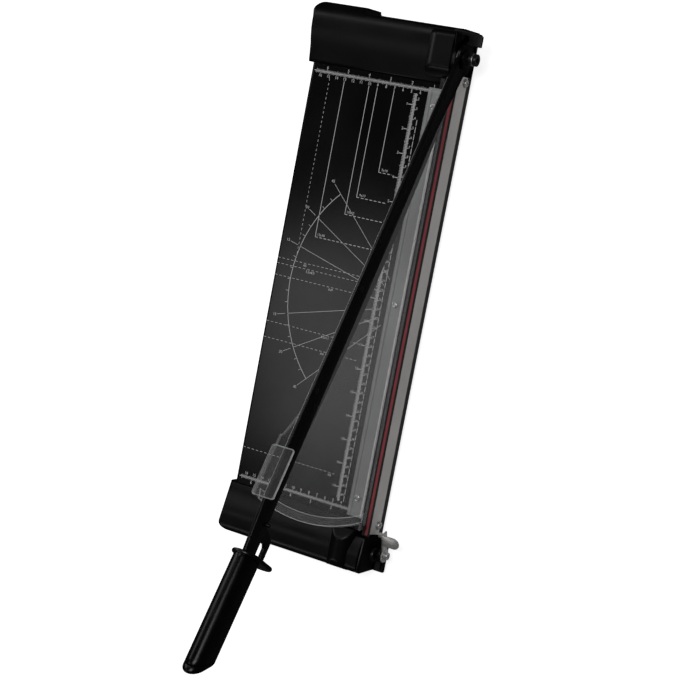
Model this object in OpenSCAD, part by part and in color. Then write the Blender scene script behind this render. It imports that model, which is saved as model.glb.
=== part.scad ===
// Guillotine paper cutter: a long narrow table between two moulded end caps, a
// knife arm hinged at the rear, a clear guard beside the cut and a paper clamp.
// X crosses the table with the cutting edge on the right, the operator stands
// on the -Y side and Z is up. All sizes are in millimetres.

/* [Table] */
// Length of the cut between the two end caps
cut_length = 460; // [300:5:700]
// Width of the table from its left edge to the cutting edge
table_width = 172; // [120:1:400]
// Height of the table surface above the desk
table_height = 36; // [32:1:60]
// Sheet thickness of the folded table plate
table_sheet = 1.5; // [1:0.1:3]
// Depth of the folded side walls below the table surface
wall_depth = 29.5; // [25:0.5:32]
// Thickness of the floor plate that closes the base
floor_sheet = 1.5; // [1:0.1:3]
// Outer radius of the long folded table edge
fold_radius = 3; // [2:0.5:6]
// Number of cross ribs inside the base
rib_count = 2; // [1:1:6]

/* [Cut edge] */
// Width of the steel rail that carries the fixed blade
rail_width = 9.5; // [8:0.5:16]
// Thickness of the fixed blade
fixed_blade_thickness = 3; // [2:0.5:5]
// Depth of the fixed blade band
fixed_blade_depth = 21; // [15:0.5:24]
// Width of the red cut line
cut_line_width = 3; // [1:0.5:5]
// Head diameter of the two fixed blade bolts
blade_bolt_head = 7.5; // [5:0.5:9]

/* [Knife arm] */
// Angle of the raised arm above the table
rest_angle = 27; // [15:0.5:40]
// Distance from the pivot to the hand shield
arm_reach = 545; // [400:1:800]
// Thickness of the arm bar
bar_thickness = 3.2; // [2:0.1:6]
// Height of the bar above the arm axis
bar_top = 16; // [10:0.5:24]
// Radius of the round arm head
head_radius = 17; // [14:0.5:20]
// Thickness of the moving blade
moving_blade_thickness = 3; // [2:0.1:5]
// Deepest point of the curved cutting edge below the arm axis
blade_belly = 22.5; // [15:0.5:25]
// Radius of the curved cutting edge
blade_curve = 2250; // [1500:50:6000]
// Diameter of the pivot bolt shank
pivot_shank = 8; // [6:0.5:12]

/* [Handle] */
// Length of the grip behind the hand shield
grip_length = 118; // [90:1:150]
// Upward angle of the grip against the arm
grip_angle = 1.5; // [0:0.5:15]
// Radius of the grip edges
grip_radius = 11; // [8:0.5:14]
// Extra half height of the grip
grip_stretch = 4; // [0:0.5:8]
// Half width of the hand shield
shield_radius = 14.5; // [12:0.5:24]
// Distance of the shield's two round ends from its middle
shield_spread = 13; // [6:0.5:18]
// Thickness of the hand shield
shield_thickness = 4; // [2:0.5:6]

/* [Guard and clamp] */
// Thickness of the clear guard plate
guard_thickness = 3; // [2:0.5:5]
// Radius of the guard's front edge
guard_radius = 513; // [400:1:700]
// Clear height under the guard plate
guard_gap = 3.5; // [2.5:0.5:6]
// Width of the clear clamp strip
clamp_width = 17; // [10:0.5:30]
// Paper gap below the clamp strip
clamp_gap = 3; // [2:0.5:5]

/* [Latch] */
// Length of the latch lever from its screw to the finger tab
latch_length = 27; // [20:0.5:40]
// Width of the latch lever
latch_width = 13; // [8:0.5:16]
// Angle of the open latch lever above the table plane
latch_angle = 22; // [0:1:40]

/* [Hidden] */
$fn = 64;
eps = 0.01;
// Running clearances
slide_gap = 0.1;
pin_gap = 0.05;
// End caps
cap_left = -178;
cap_wall = 3;
rear_end = 64;
rear_step = 58;
front_end = -514;
cap_rise = 12;
cap_corner = 10;
// Pivot
pivot_y = 29;
pivot_z = 4;
rail_front = -474;
rail_rear = 11.5;
blade_top = -0.4;
// Shift that centres the whole machine on its own footprint
shift_x = 73.1;
shift_y = 246.8;
shift_z = table_height;
// Layers across the hinge
head_x = slide_gap + moving_blade_thickness;
bar_out = head_x + bar_thickness;
hub_x = 10;
hub_length = 4;
block_screw_rows = [17.5, 27.5];
block_face = -0.6;
// Bolt rows
bolt_z = -16;
bolt_rows = [5.5, -463];
floor_z = -wall_depth;
// Latch position
latch_y = -493;
latch_z = -19.5;
latch_plate_x = 11.3;
latch_sheet = 1.5;
lug_x = 7.4;
// Guard position across the table
guard_x = -8.5;
clamp_right = -11;
grip_w = 0.7;
tang_w = -3;
hood_w = bar_top + 0.6;
// Top of the arm's lower rail and middle of the hand shield
rail_top = -20.3;
shield_w = -10;
// Catch stud on the arm
stud_u = 513;
stud_w = -5;
// Screws under the end caps
cap_screw_columns = [cap_left + 48, -70];
cap_screw_rows = [48, front_end + 12];
guard_screw_places = [[-464, 8], [1, 9]];
foot_rows = [40, -490];
foot_columns = [-160, -16];

// Moves a shape from the table frame to the frame of the whole machine.
module placed() {
    translate([shift_x, shift_y, shift_z]) children();
}

// Extrudes a shape drawn in Y and Z across the machine, from X = from.
module across(from, thickness) {
    placed()
        translate([from, 0, 0])
            rotate([90, 0, 90])
                linear_extrude(thickness) children();
}

// Extrudes a shape drawn in X and Y upwards, from Z = from.
module upwards(from, height) {
    placed()
        translate([0, 0, from])
            linear_extrude(height) children();
}

// Extrudes a shape drawn in X and Z along the table, from Y = from towards +Y.
module along(from, length) {
    placed()
        translate([0, from + length, 0])
            rotate([90, 0, 0])
                linear_extrude(length) children();
}

// A round bar along X.
module pin_x(x0, length, radius, y, z) {
    placed()
        translate([x0, y, z])
            rotate([0, 90, 0])
                cylinder(h = length, r = radius);
}

// A round bar along Z.
module pin_z(z0, length, radius, x, y) {
    placed()
        translate([x, y, z0])
            cylinder(h = length, r = radius);
}

// Places a shape drawn in the arm's own frame: -Y along the arm, Z square to it.
module on_arm() {
    placed()
        translate([0, pivot_y, pivot_z])
            rotate([-rest_angle, 0, 0]) children();
}

// Extrudes a shape given in the arm's frame across the machine.
module arm_across(from, thickness) {
    on_arm()
        translate([from, 0, 0])
            rotate([90, 0, 90])
                linear_extrude(thickness) children();
}

// A round bar along X in the arm's frame.
module arm_pin(x0, length, radius, u, w) {
    on_arm()
        translate([x0, -u, w])
            rotate([0, 90, 0])
                cylinder(h = length, r = radius);
}

// Places a shape in the grip's frame: -Y along the grip, from the hand shield.
module on_grip() {
    on_arm()
        translate([(head_x + bar_out) / 2, -arm_reach - shield_thickness, grip_w])
            rotate([-grip_angle, 0, 0]) children();
}

// A rectangle with round corners.
module round_box(x0, y0, x1, y1, r) {
    translate([x0 + r, y0]) square([x1 - x0 - 2 * r, y1 - y0]);
    translate([x0, y0 + r]) square([x1 - x0, y1 - y0 - 2 * r]);
    for (x = [x0 + r, x1 - r]) {
        for (y = [y0 + r, y1 - r]) {
            translate([x, y]) circle(r = r);
        }
    }
}

// ---------------------------------------------------------------- base

module table_plate() {
    color("#2b2b2e")
        difference() {
            along(-cut_length, cut_length)
                difference() {
                    union() {
                        translate([-table_width + fold_radius, -fold_radius])
                            circle(r = fold_radius);
                        translate([-table_width + fold_radius, -wall_depth])
                            square([table_width - fold_radius - rail_width, wall_depth]);
                        translate([-table_width, -wall_depth])
                            square([fold_radius, wall_depth - fold_radius]);
                    }
                    translate([-table_width + table_sheet, -wall_depth - 1])
                        square([table_width - rail_width - 2 * table_sheet,
                                wall_depth + 1 - table_sheet]);
                }
            for (y = clamp_rows()) {
                pin_z(-5, 10, 2.2, clamp_right - clamp_width / 2, y);
            }
        }
}

module floor_plate() {
    color("#1d1d1f")
        difference() {
            upwards(floor_z - floor_sheet, floor_sheet)
                union() {
                    round_box(cap_left + 2, front_end + 2, -0.6, rear_step - 2, 6);
                    translate([-16, front_end + 4]) square([26, 34]);
                }
            for (x = foot_columns) {
                for (y = foot_rows) {
                    pin_z(floor_z - 3, 6, 1.75, x, y);
                }
            }
            for (x = cap_screw_columns) {
                for (y = cap_screw_rows) {
                    pin_z(floor_z - 3, 6, 1.5, x, y);
                }
            }
            for (y = block_screw_rows) {
                pin_z(floor_z - 3, 6, 1.75, -7, y);
            }
        }
}

module cross_ribs() {
    color("#3a3a3d")
        for (i = [1 : rib_count]) {
            along(-cut_length * i / (rib_count + 1) - 1, 2)
                difference() {
                    translate([-table_width + table_sheet, -wall_depth])
                        square([table_width - rail_width - 2 * table_sheet,
                                wall_depth - table_sheet]);
                    for (k = [1 : 3]) {
                        translate([-table_width + 40 * k, -wall_depth / 2 - 1])
                            circle(r = 8);
                    }
                }
        }
}

module rubber_feet() {
    color("#111111")
        for (x = foot_columns) {
            for (y = foot_rows) {
                difference() {
                    pin_z(-table_height, table_height + floor_z - floor_sheet, 8, x, y);
                    pin_z(-table_height - 1, 3, 3.6, x, y);
                    pin_z(-table_height - 1, 9, 1.8, x, y);
                }
            }
        }
}

module feet_screws() {
    color("#9a9a9c")
        for (x = foot_columns) {
            for (y = foot_rows) {
                pin_z(-table_height + 0.8, 1.2, 3.3, x, y);
                pin_z(-table_height + 2 - eps, 7.6, 1.7, x, y);
            }
        }
}

module cross_key() {
    square([4, 1], center = true);
    square([1, 4], center = true);
}

// ---------------------------------------------------------------- end caps

// Side outline of the rear cap: it climbs from the table and rounds over.
module rear_profile() {
    polygon([[0, floor_z], [0, 1], [8, 3], [44, cap_rise], [rear_end - 8, cap_rise],
             [rear_end, cap_rise - 9], [rear_end, floor_z]]);
    translate([rear_end - 9, cap_rise - 9]) circle(r = 9);
    translate([44, -28]) circle(r = 40);
}

module rear_plan() {
    round_box(cap_left, 0, -118, rear_end, cap_corner);
    translate([cap_left, 0]) square([70, 20]);
    translate([-119, 0]) square([119 + block_face, rear_step]);
    difference() {
        translate([-120, rear_step - 1]) square([10, rear_end - rear_step]);
        translate([-110, rear_end]) circle(r = 8);
    }
}

// Flat lug that covers the hinge from above.
module hinge_lug() {
    upwards(8, 3)
        polygon([[-10, 51], [7.5, 51], [7.5, 41.5], [22.5, 41.5], [22.5, 52.5],
                 [20, 54.5], [-10, 57]]);
}

module rear_cap() {
    color("#161617")
        difference() {
            union() {
                intersection() {
                    upwards(floor_z, wall_depth + cap_rise) rear_plan();
                    across(cap_left - 5, 230) rear_profile();
                }
                hinge_tower();
                hinge_lug();
            }
            // hollow inside
            difference() {
                upwards(floor_z - 1, wall_depth + 1 - 4)
                    round_box(cap_left + cap_wall, cap_wall, -38, rear_step - cap_wall, 6);
                cap_bosses(48);
            }
            // bay of the hinge block
            across(-31, 31 + block_face + eps)
                translate([9.5, floor_z - 1]) square([41, 50]);
            // seat of the rail and the fixed blade
            along(-1, rail_rear + 1.5)
                translate([-rail_width - 0.3, floor_z - 1])
                    square([rail_width + 1, wall_depth + 3]);
            // bores of the cap screws
            for (x = cap_screw_columns) {
                pin_z(floor_z - 2, 12, 1.5, x, 48);
            }
        }
}

// Columns inside a cap that take its screws.
module cap_bosses(y) {
    for (x = cap_screw_columns) {
        pin_z(floor_z, wall_depth, 4.5, x, y);
    }
}

module hinge_tower() {
    intersection() {
        upwards(-6, 30)
            round_box(-32, 6, block_face, 54, 0.8);
        along(0, 60)
            union() {
                translate([-26, 18]) circle(r = 6);
                translate([-26, 0]) square([26 + block_face, 24]);
                translate([-32, -8]) square([8, 26]);
            }
        across(-40, 50)
            polygon([[6, -8], [6, 12], [16, 24], [50, 24], [54, 20], [54, -8]]);
    }
}

module front_profile() {
    polygon([[-cut_length, floor_z], [front_end, floor_z], [front_end, 3],
             [front_end + 9, cap_rise], [-cut_length - 34, cap_rise - 1],
             [-cut_length - 4, 1.2], [-cut_length, 0.6]]);
    translate([front_end + 9, cap_rise - 9]) circle(r = 9);
}

module front_plan() {
    difference() {
        round_box(cap_left, front_end, block_face, -cut_length, cap_corner);
        translate([-20, front_end - 1]) square([30, 60]);
        translate([-190, -cut_length - 12]) square([30, 13]);
    }
    translate([cap_left, -cut_length - 14]) square([30, 14]);
    translate([-20.5, front_end]) square([20.5 + block_face, -cut_length - front_end]);
}

module front_cap() {
    color("#161617")
        difference() {
            union() {
                intersection() {
                    upwards(floor_z, wall_depth + cap_rise) front_plan();
                    across(cap_left - 5, 230) front_profile();
                }
                front_barrel();
                // ledge and lug beside the slot that takes the arm
                upwards(floor_z, 3)
                    round_box(-3, front_end, 11, -477, 2);
                across(lug_x, 3.6)
                    union() {
                        translate([latch_y, latch_z]) circle(r = 9);
                        translate([latch_y - 9, floor_z]) square([18, latch_z - floor_z]);
                    }
            }
            difference() {
                upwards(floor_z - 1, wall_depth + 1 - 4)
                    round_box(cap_left + cap_wall, front_end + cap_wall, -14,
                              -cut_length - cap_wall, 6);
                cap_bosses(front_end + 12);
            }
            // pocket of the guard's front foot
            along(-467.6, 7.2)
                translate([-13.3, 0.2]) square([14, 12]);
            along(rail_front - 0.3, -rail_front - cut_length + 1)
                translate([-rail_width - 0.3, floor_z - 1])
                    square([rail_width + 1, wall_depth + 20]);
            pin_x(lug_x - 1, 6, 2.5, latch_y, latch_z);
            for (x = cap_screw_columns) {
                pin_z(floor_z - 2, 12, 1.5, x, front_end + 12);
            }
        }
}

// Raised barrel next to the front end of the guard.
module front_barrel() {
    intersection() {
        along(front_end + 1, 46)
            union() {
                translate([-27, 3]) circle(r = 14);
                translate([-41, -10]) square([28, 13]);
            }
        across(-60, 60)
            polygon([[front_end, -10], [front_end + 1, 8], [front_end + 12, 17],
                     [front_end + 34, 17], [-468.5, 8], [-468.5, -10]]);
    }
}

module cap_screws() {
    color("#8c8c8f")
        for (x = cap_screw_columns) {
            for (y = cap_screw_rows) {
                pin_z(floor_z - floor_sheet - 1.6, 1.6, 3.2, x, y);
                pin_z(floor_z - floor_sheet, 9, 1.45, x, y);
            }
        }
}

// ---------------------------------------------------------------- cut edge

module blade_rail() {
    color("#202022")
        difference() {
            along(rail_front, rail_rear - rail_front)
                polygon([[-rail_width, floor_z], [0, floor_z],
                         [0, blade_top - fixed_blade_depth],
                         [-fixed_blade_thickness, blade_top - fixed_blade_depth],
                         [-fixed_blade_thickness, blade_top], [-rail_width, blade_top]]);
            for (y = bolt_rows) {
                pin_x(-rail_width - 1, rail_width, 2.4, y, bolt_z);
            }
        }
}

module fixed_blade() {
    color("#b9b9ba")
        difference() {
            along(rail_front, rail_rear - rail_front)
                translate([-fixed_blade_thickness, blade_top - fixed_blade_depth])
                    square([fixed_blade_thickness, fixed_blade_depth]);
            for (y = bolt_rows) {
                pin_x(-fixed_blade_thickness - 1, 5, 2.6, y, bolt_z);
            }
        }
}

module blade_washers() {
    color("#c8c8ca")
        for (y = bolt_rows) {
            difference() {
                pin_x(0, 0.8, blade_bolt_head / 2 + 0.7, y, bolt_z);
                pin_x(-1, 3, 2.6, y, bolt_z);
            }
        }
}

module blade_bolts() {
    color("#aaaaad")
        for (y = bolt_rows) {
            difference() {
                union() {
                    pin_x(0.8, 1.8, blade_bolt_head / 2, y, bolt_z);
                    pin_x(-rail_width + 1, rail_width, 2.35, y, bolt_z);
                }
                placed()
                    translate([1.6, y, bolt_z])
                        rotate([0, 90, 0]) cylinder(h = 2, r = 2, $fn = 6);
            }
        }
}

module edge_strip() {
    color("#0c0c0d")
        along(rail_front, -rail_front)
            translate([-rail_width, blade_top])
                square([rail_width - 0.4, -blade_top]);
}

module cut_line() {
    color("#a01822")
        along(rail_front + 1, -rail_front - 1)
            translate([-5.6, 0]) square([cut_line_width, 0.15]);
}

// ---------------------------------------------------------------- hinge

module hinge_block() {
    color("#4a4a4d")
        difference() {
            across(-14, 14 + block_face)
                union() {
                    translate([13, floor_z]) square([34, 40]);
                    translate([pivot_y, pivot_z]) circle(r = 15);
                }
            pin_x(-15, 20, pivot_shank / 2, pivot_y, pivot_z);
            for (y = block_screw_rows) {
                pin_z(floor_z - 1, 12, 1.75, -7, y);
            }
        }
}

// Collar that carries the outer end of the pivot bolt.
module pivot_hub() {
    color("#1f1f21")
        difference() {
            pin_x(hub_x, hub_length, 6.25, pivot_y, pivot_z);
            pin_x(hub_x - 1, hub_length + 2, pivot_shank / 2 + 0.02, pivot_y, pivot_z);
        }
}

// Screws that hold the hinge block on the floor plate.
module block_screws() {
    color("#2c2c2f")
        for (y = block_screw_rows) {
            pin_z(floor_z - floor_sheet - 1.6, 1.6, 3.4, -7, y);
            pin_z(floor_z - floor_sheet - eps, 10, 1.7, -7, y);
        }
}

module pivot_bolt() {
    color("#1b1b1d")
        difference() {
            union() {
                pin_x(-14, 32, pivot_shank / 2 - 0.02, pivot_y, pivot_z);
                pin_x(hub_x + hub_length + 1, 3.5, 6.25, pivot_y, pivot_z);
            }
            placed()
                translate([hub_x + hub_length + 2.5, pivot_y, pivot_z])
                    rotate([0, 90, 0]) cylinder(h = 4, r = 3, $fn = 6);
        }
}

module pivot_washers() {
    color("#8e8e92")
        difference() {
            union() {
                pin_x(block_face, -block_face + head_x - slide_gap, 11, pivot_y, pivot_z);
                pin_x(hub_x + hub_length, 1, 6.6, pivot_y, pivot_z);
            }
            pin_x(-5, 30, pivot_shank / 2 + 0.02, pivot_y, pivot_z);
        }
}

// Domed spring washer between the arm head and the outer hub.
module pivot_spring() {
    color("#77777a")
        placed()
            translate([bar_out + slide_gap, pivot_y, pivot_z])
                rotate([0, 90, 0])
                    rotate_extrude()
                        polygon([[pivot_shank / 2 + 0.3, 2.2], [5.2, 2.2], [10, 0],
                                 [10, 1.2], [6, hub_x - bar_out - slide_gap],
                                 [pivot_shank / 2 + 0.3, hub_x - bar_out - slide_gap]]);
}

// ---------------------------------------------------------------- arm

module bar_outline() {
    difference() {
        union() {
            circle(r = head_radius);
            // bar, then the web and lower rail of the opening before the shield
            polygon([[0, bar_top], [-497, bar_top], [-arm_reach, bar_top - 4],
                     [-arm_reach, -9.5],
                     [-529, -9.3], [-529, -17.5], [-532, rail_top],
                     [-arm_reach, rail_top], [-arm_reach, -28], [-523, -28],
                     [-519.5, -24], [-514.5, -9], [-60, -3], [0, -10]]);
            // tang inside the grip
            translate([-arm_reach - 66, -9.5]) square([68, 13.5]);
        }
        circle(r = 6 + pin_gap);
        for (u = rivet_places()) {
            translate([-u, 8]) circle(r = 2);
        }
        for (u = tang_places()) {
            translate([-u, tang_w]) circle(r = 2);
        }
        translate([-stud_u, stud_w]) circle(r = 2);
    }
}

function rivet_places() = [50, 160, 270, 380, 470];
function tang_places() = [arm_reach + 22, arm_reach + 54];
function clamp_rows() = [-24, -230, -436];

module arm_bar() {
    color("#141415")
        arm_across(head_x, bar_thickness) bar_outline();
}

module moving_blade() {
    color("#77797c")
        difference() {
            arm_across(slide_gap, moving_blade_thickness)
                difference() {
                    intersection() {
                        translate([-497, -blade_belly - 1])
                            square([467, blade_belly + 12]);
                        translate([-250, blade_curve - blade_belly])
                            circle(r = blade_curve, $fn = 720);
                    }
                    for (u = rivet_places()) {
                        translate([-u, 8]) circle(r = 2);
                    }
                    circle(r = 32);
                }
        }
}

module arm_rivets() {
    color("#1e1e20")
        for (u = rivet_places()) {
            arm_pin(slide_gap + 0.1, moving_blade_thickness + bar_thickness + 0.4, 1.98, u, 8);
            arm_pin(bar_out, 0.9, 3.4, u, 8);
        }
}

module pivot_bush() {
    color("#b08a45")
        difference() {
            arm_pin(head_x, bar_thickness, 6, 0, 0);
            arm_pin(head_x - 1, bar_thickness + 2, pivot_shank / 2 + 0.03, 0, 0);
        }
}

module hand_shield() {
    color("#18181a")
        difference() {
            on_arm()
                translate([(head_x + bar_out) / 2, -arm_reach, shield_w])
                    rotate([90, 0, 0])
                        linear_extrude(shield_thickness)
                            union() {
                                for (s = [-1, 1]) {
                                    translate([0, shield_spread * s]) circle(r = shield_radius);
                                }
                                square([2 * shield_radius, 2 * shield_spread], center = true);
                            }
            arm_across(head_x, bar_thickness)
                translate([-arm_reach - 80, -9.5]) square([90, 13.5]);
        }
}

// Body of the grip, with its far end cut off at a slant and rounded.
module grip_body() {
    intersection() {
        on_grip()
            rotate([90, 0, 0])
                translate([0, 0, -2])
                    linear_extrude(grip_length + 2)
                        union() {
                            for (s = [-1, 1]) {
                                translate([0, grip_stretch * s]) circle(r = grip_radius);
                            }
                            square([2 * grip_radius, 2 * grip_stretch], center = true);
                        }
        on_grip()
            translate([-20, 0, 0])
                rotate([90, 0, 90])
                    linear_extrude(40)
                        grip_side();
        arm_across(-20, 50)
            translate([-800, -60])
                square([800 - arm_reach - shield_thickness, 140]);
    }
}

module grip_side() {
    low = -grip_radius - grip_stretch;
    polygon([[5, low - 1], [5, -low + 1], [-grip_length + 3, -low + 1],
             [-grip_length, -low - 2.5], [-grip_length + 3, -low - 8],
             [-grip_length + 14.5, low + 6.5], [-grip_length + 22, low - 1]]);
}

module handle_grip() {
    color("#151516")
        difference() {
            grip_body();
            on_grip()
                translate([-20, -grip_length - 20, -30]) cube([40, 28.6, 60]);
            arm_across(head_x, bar_thickness)
                translate([-arm_reach - 66.2, -9.5]) square([90, 13.5]);
            for (u = tang_places()) {
                arm_pin(-20, 60, 2, u, tang_w);
            }
        }
}

module handle_end() {
    color("#1b1b1c")
        intersection() {
            grip_body();
            on_grip()
                translate([-20, -grip_length - 20, -30]) cube([40, 28.3, 60]);
        }
}

module handle_pins() {
    color("#242426")
        for (u = tang_places()) {
            arm_pin((head_x + bar_out) / 2 - 8.6, 17.2, 1.98, u, tang_w);
        }
}

// Stud on the outside of the arm that the latch holds down.
module catch_stud() {
    color("#2a2a2c")
        arm_pin(head_x + 0.2, bar_thickness - 0.2 + 4.3, 1.98, stud_u, stud_w);
}

module arm_stop() {
    color("#101010")
        upwards(floor_z + 3, 2.1)
            round_box(1, -512, 6.6, -500, 1);
}

// ---------------------------------------------------------------- guard

module guard_outline() {
    translate([-467, guard_gap]) square([12, 9]);
    intersection() {
        translate([53, 7]) circle(r = guard_radius, $fn = 720);
        polygon([[5, guard_gap], [5, 13], [-6, 13], [-200, 103], [-300, 153], [-326, 178],
                 [guard_top_y(443), guard_top_z(443)],
                 [guard_top_y(493), guard_top_z(493)],
                 [-500, 240], [-500, guard_gap]]);
    }
}

// Point of the arm line at distance u from the pivot, at the hood's underside.
function guard_top_y(u) = pivot_y - u * cos(rest_angle) + hood_w * sin(rest_angle);
function guard_top_z(u) = pivot_z + u * sin(rest_angle) + hood_w * cos(rest_angle);

module guard_plate() {
    color([0.75, 0.8, 0.82, 0.35])
        difference() {
            across(guard_x, guard_thickness) guard_outline();
            for (p = guard_screw_places) {
                pin_x(guard_x - 1, 6, 1.3, p[0], p[1]);
            }
        }
}

// Thicker rim along the guard's front edge.
module guard_rim() {
    color([0.8, 0.85, 0.87, 0.4])
        across(guard_x - 1.5, 1.5)
            intersection() {
                difference() {
                    translate([53, 7]) circle(r = guard_radius, $fn = 720);
                    translate([53, 7]) circle(r = guard_radius - 9, $fn = 720);
                }
                polygon([[-300, guard_gap + 2], [-300, 180], [-392, 228],
                         [-410, 236], [-560, 236], [-560, guard_gap + 2]]);
            }
}

module guard_hood() {
    color([0.8, 0.85, 0.87, 0.4])
        on_arm()
            translate([guard_x, -494, hood_w])
                cube([24, 51, guard_thickness]);
}

module guard_brackets() {
    color("#1a1a1b")
        difference() {
            union() {
                // front foot beside the barrel
                along(-467.5, 7)
                    translate([-13.2, 0.2]) square([4.7, 11]);
                along(-467.5, 7)
                    translate([-13.2, 0.2]) square([7.7, 3.1]);
                // rear foot on the tower
                along(-4, 10)
                    translate([-13.2, 3.6]) square([4.7, 10]);
            }
            for (p = guard_screw_places) {
                pin_x(-12.6, 6, 1.22, p[0], p[1]);
            }
        }
}

module guard_screws() {
    color("#a5a5a8")
        for (p = guard_screw_places) {
            pin_x(-12.5, 12.5 + guard_x + guard_thickness, 1.2, p[0], p[1]);
            pin_x(guard_x + guard_thickness, 1.2, 2.4, p[0], p[1]);
        }
}

// ---------------------------------------------------------------- clamp

module clamp_strip() {
    color([0.7, 0.74, 0.76, 0.45])
        difference() {
            along(-456, 451)
                polygon([[clamp_right - clamp_width, clamp_gap],
                         [clamp_right, clamp_gap], [clamp_right, clamp_gap + 3],
                         [clamp_right - clamp_width + 5, clamp_gap + 3],
                         [clamp_right - clamp_width + 4, clamp_gap + 4.2],
                         [clamp_right - clamp_width + 1, clamp_gap + 4.2],
                         [clamp_right - clamp_width, clamp_gap + 3.2]]);
            for (y = clamp_rows()) {
                pin_z(0, 10, 1.9, clamp_right - clamp_width / 2, y);
            }
        }
}

module clamp_pins() {
    color("#bcbcbf")
        for (y = clamp_rows()) {
            pin_z(-16, 16 + clamp_gap + 3, 1.88, clamp_right - clamp_width / 2, y);
            pin_z(clamp_gap + 3, 1.2, 3.2, clamp_right - clamp_width / 2, y);
            pin_z(-table_sheet - 1.4, 1.3, 4.2, clamp_right - clamp_width / 2, y);
        }
}

// Return springs between the floor plate and the collars of the clamp pins.
module clamp_springs() {
    color("#98989b")
        for (y = clamp_rows()) {
            for (k = [0 : 5]) {
                placed()
                    translate([clamp_right - clamp_width / 2, y, floor_z + 0.5 + 5.1 * k])
                        rotate_extrude()
                            translate([3, 0]) circle(r = 0.45, $fn = 16);
            }
        }
}

// ---------------------------------------------------------------- latch

// Places a shape in the latch's frame: +Y along the lever, Z square to it.
module on_latch() {
    placed()
        translate([0, latch_y, latch_z])
            rotate([latch_angle, 0, 0]) children();
}

module latch_lever() {
    color("#a9a8a6")
        difference() {
            union() {
                on_latch()
                    translate([latch_plate_x, 0, 0])
                        rotate([90, 0, 90])
                            linear_extrude(latch_sheet)
                                union() {
                                    circle(r = 7.6);
                                    translate([0, -4.8]) square([latch_length + 1, 9.6]);
                                }
                // finger tab bent outwards
                on_latch()
                    translate([latch_plate_x + latch_sheet - eps, latch_length - 12.5, 3.3])
                        union() {
                            cube([12.5, latch_width, latch_sheet]);
                            translate([12.5, latch_width / 2, 0])
                                cylinder(h = latch_sheet, r = latch_width / 2);
                        }
                // lip bent inwards over the stud
                on_latch()
                    translate([lug_x - 0.3, latch_length - 3, 0.8])
                        cube([latch_plate_x - lug_x + 0.3 + eps, 4, 4]);
            }
            pin_x(latch_plate_x - 2, 6, 2.55, latch_y, latch_z);
        }
}

module latch_post() {
    color("#19191a")
        difference() {
            union() {
                placed()
                    translate([lug_x + 3.6, latch_y, latch_z])
                        rotate([0, 90, 0])
                            cylinder(h = latch_plate_x - lug_x - 3.6 - 0.05, r = 6.4, $fn = 6);
                pin_x(lug_x - 0.6, 4.2, 2.48, latch_y, latch_z);
            }
            pin_x(lug_x - 1, 6, 1.6, latch_y, latch_z);
        }
}

module latch_washers() {
    color("#c4c4c6")
        difference() {
            pin_x(latch_plate_x + latch_sheet + 0.05, 1, 5.6, latch_y, latch_z);
            pin_x(latch_plate_x, 6, 2.52, latch_y, latch_z);
        }
}

module latch_screw() {
    color("#a2a2a5")
        difference() {
            union() {
                pin_x(lug_x - 0.5, 5, 1.58, latch_y, latch_z);
                pin_x(latch_plate_x - 0.05, latch_sheet + 1.1, 2.5, latch_y, latch_z);
                pin_x(latch_plate_x + latch_sheet + 1.05, 3, 4, latch_y, latch_z);
            }
            placed()
                translate([latch_plate_x + latch_sheet + 2.6, latch_y, latch_z])
                    rotate([0, 90, 0]) cylinder(h = 4, r = 2, $fn = 6);
        }
}

// Round nut on the side of the front cap, in the bay that takes the arm.
module side_nut() {
    color("#161617")
        difference() {
            pin_x(block_face, 3.2, 7.5, -495.5, -18.5);
            placed()
                translate([block_face + 1.4, -495.5, -18.5])
                    rotate([0, 90, 0]) cylinder(h = 4, r = 3.4, $fn = 6);
        }
}

table_plate();
floor_plate();
cross_ribs();
rubber_feet();
feet_screws();
rear_cap();
front_cap();
cap_screws();
blade_rail();
fixed_blade();
blade_washers();
blade_bolts();
edge_strip();
cut_line();
hinge_block();
pivot_hub();
block_screws();
pivot_bolt();
pivot_washers();
pivot_spring();
arm_bar();
moving_blade();
arm_rivets();
pivot_bush();
hand_shield();
handle_grip();
handle_end();
handle_pins();
catch_stud();
arm_stop();
guard_plate();
guard_rim();
guard_hood();
guard_brackets();
guard_screws();
clamp_strip();
clamp_pins();
clamp_springs();
latch_lever();
latch_post();
latch_washers();
latch_screw();
side_nut();
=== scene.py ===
"""Guillotine paper cutter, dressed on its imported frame.

Each sub-assembly of the machine is a class. It holds its own sizes in
millimetres, measured from the machine's datum: X = 0 at the cutting edge,
Y = 0 at the paper stop and Z = 0 at the table surface.
"""
import logging
import math
from dataclasses import dataclass, field
from enum import Enum
from typing import Callable, Iterable, Sequence

import bmesh
import bpy
from mathutils import Matrix, Vector


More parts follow.
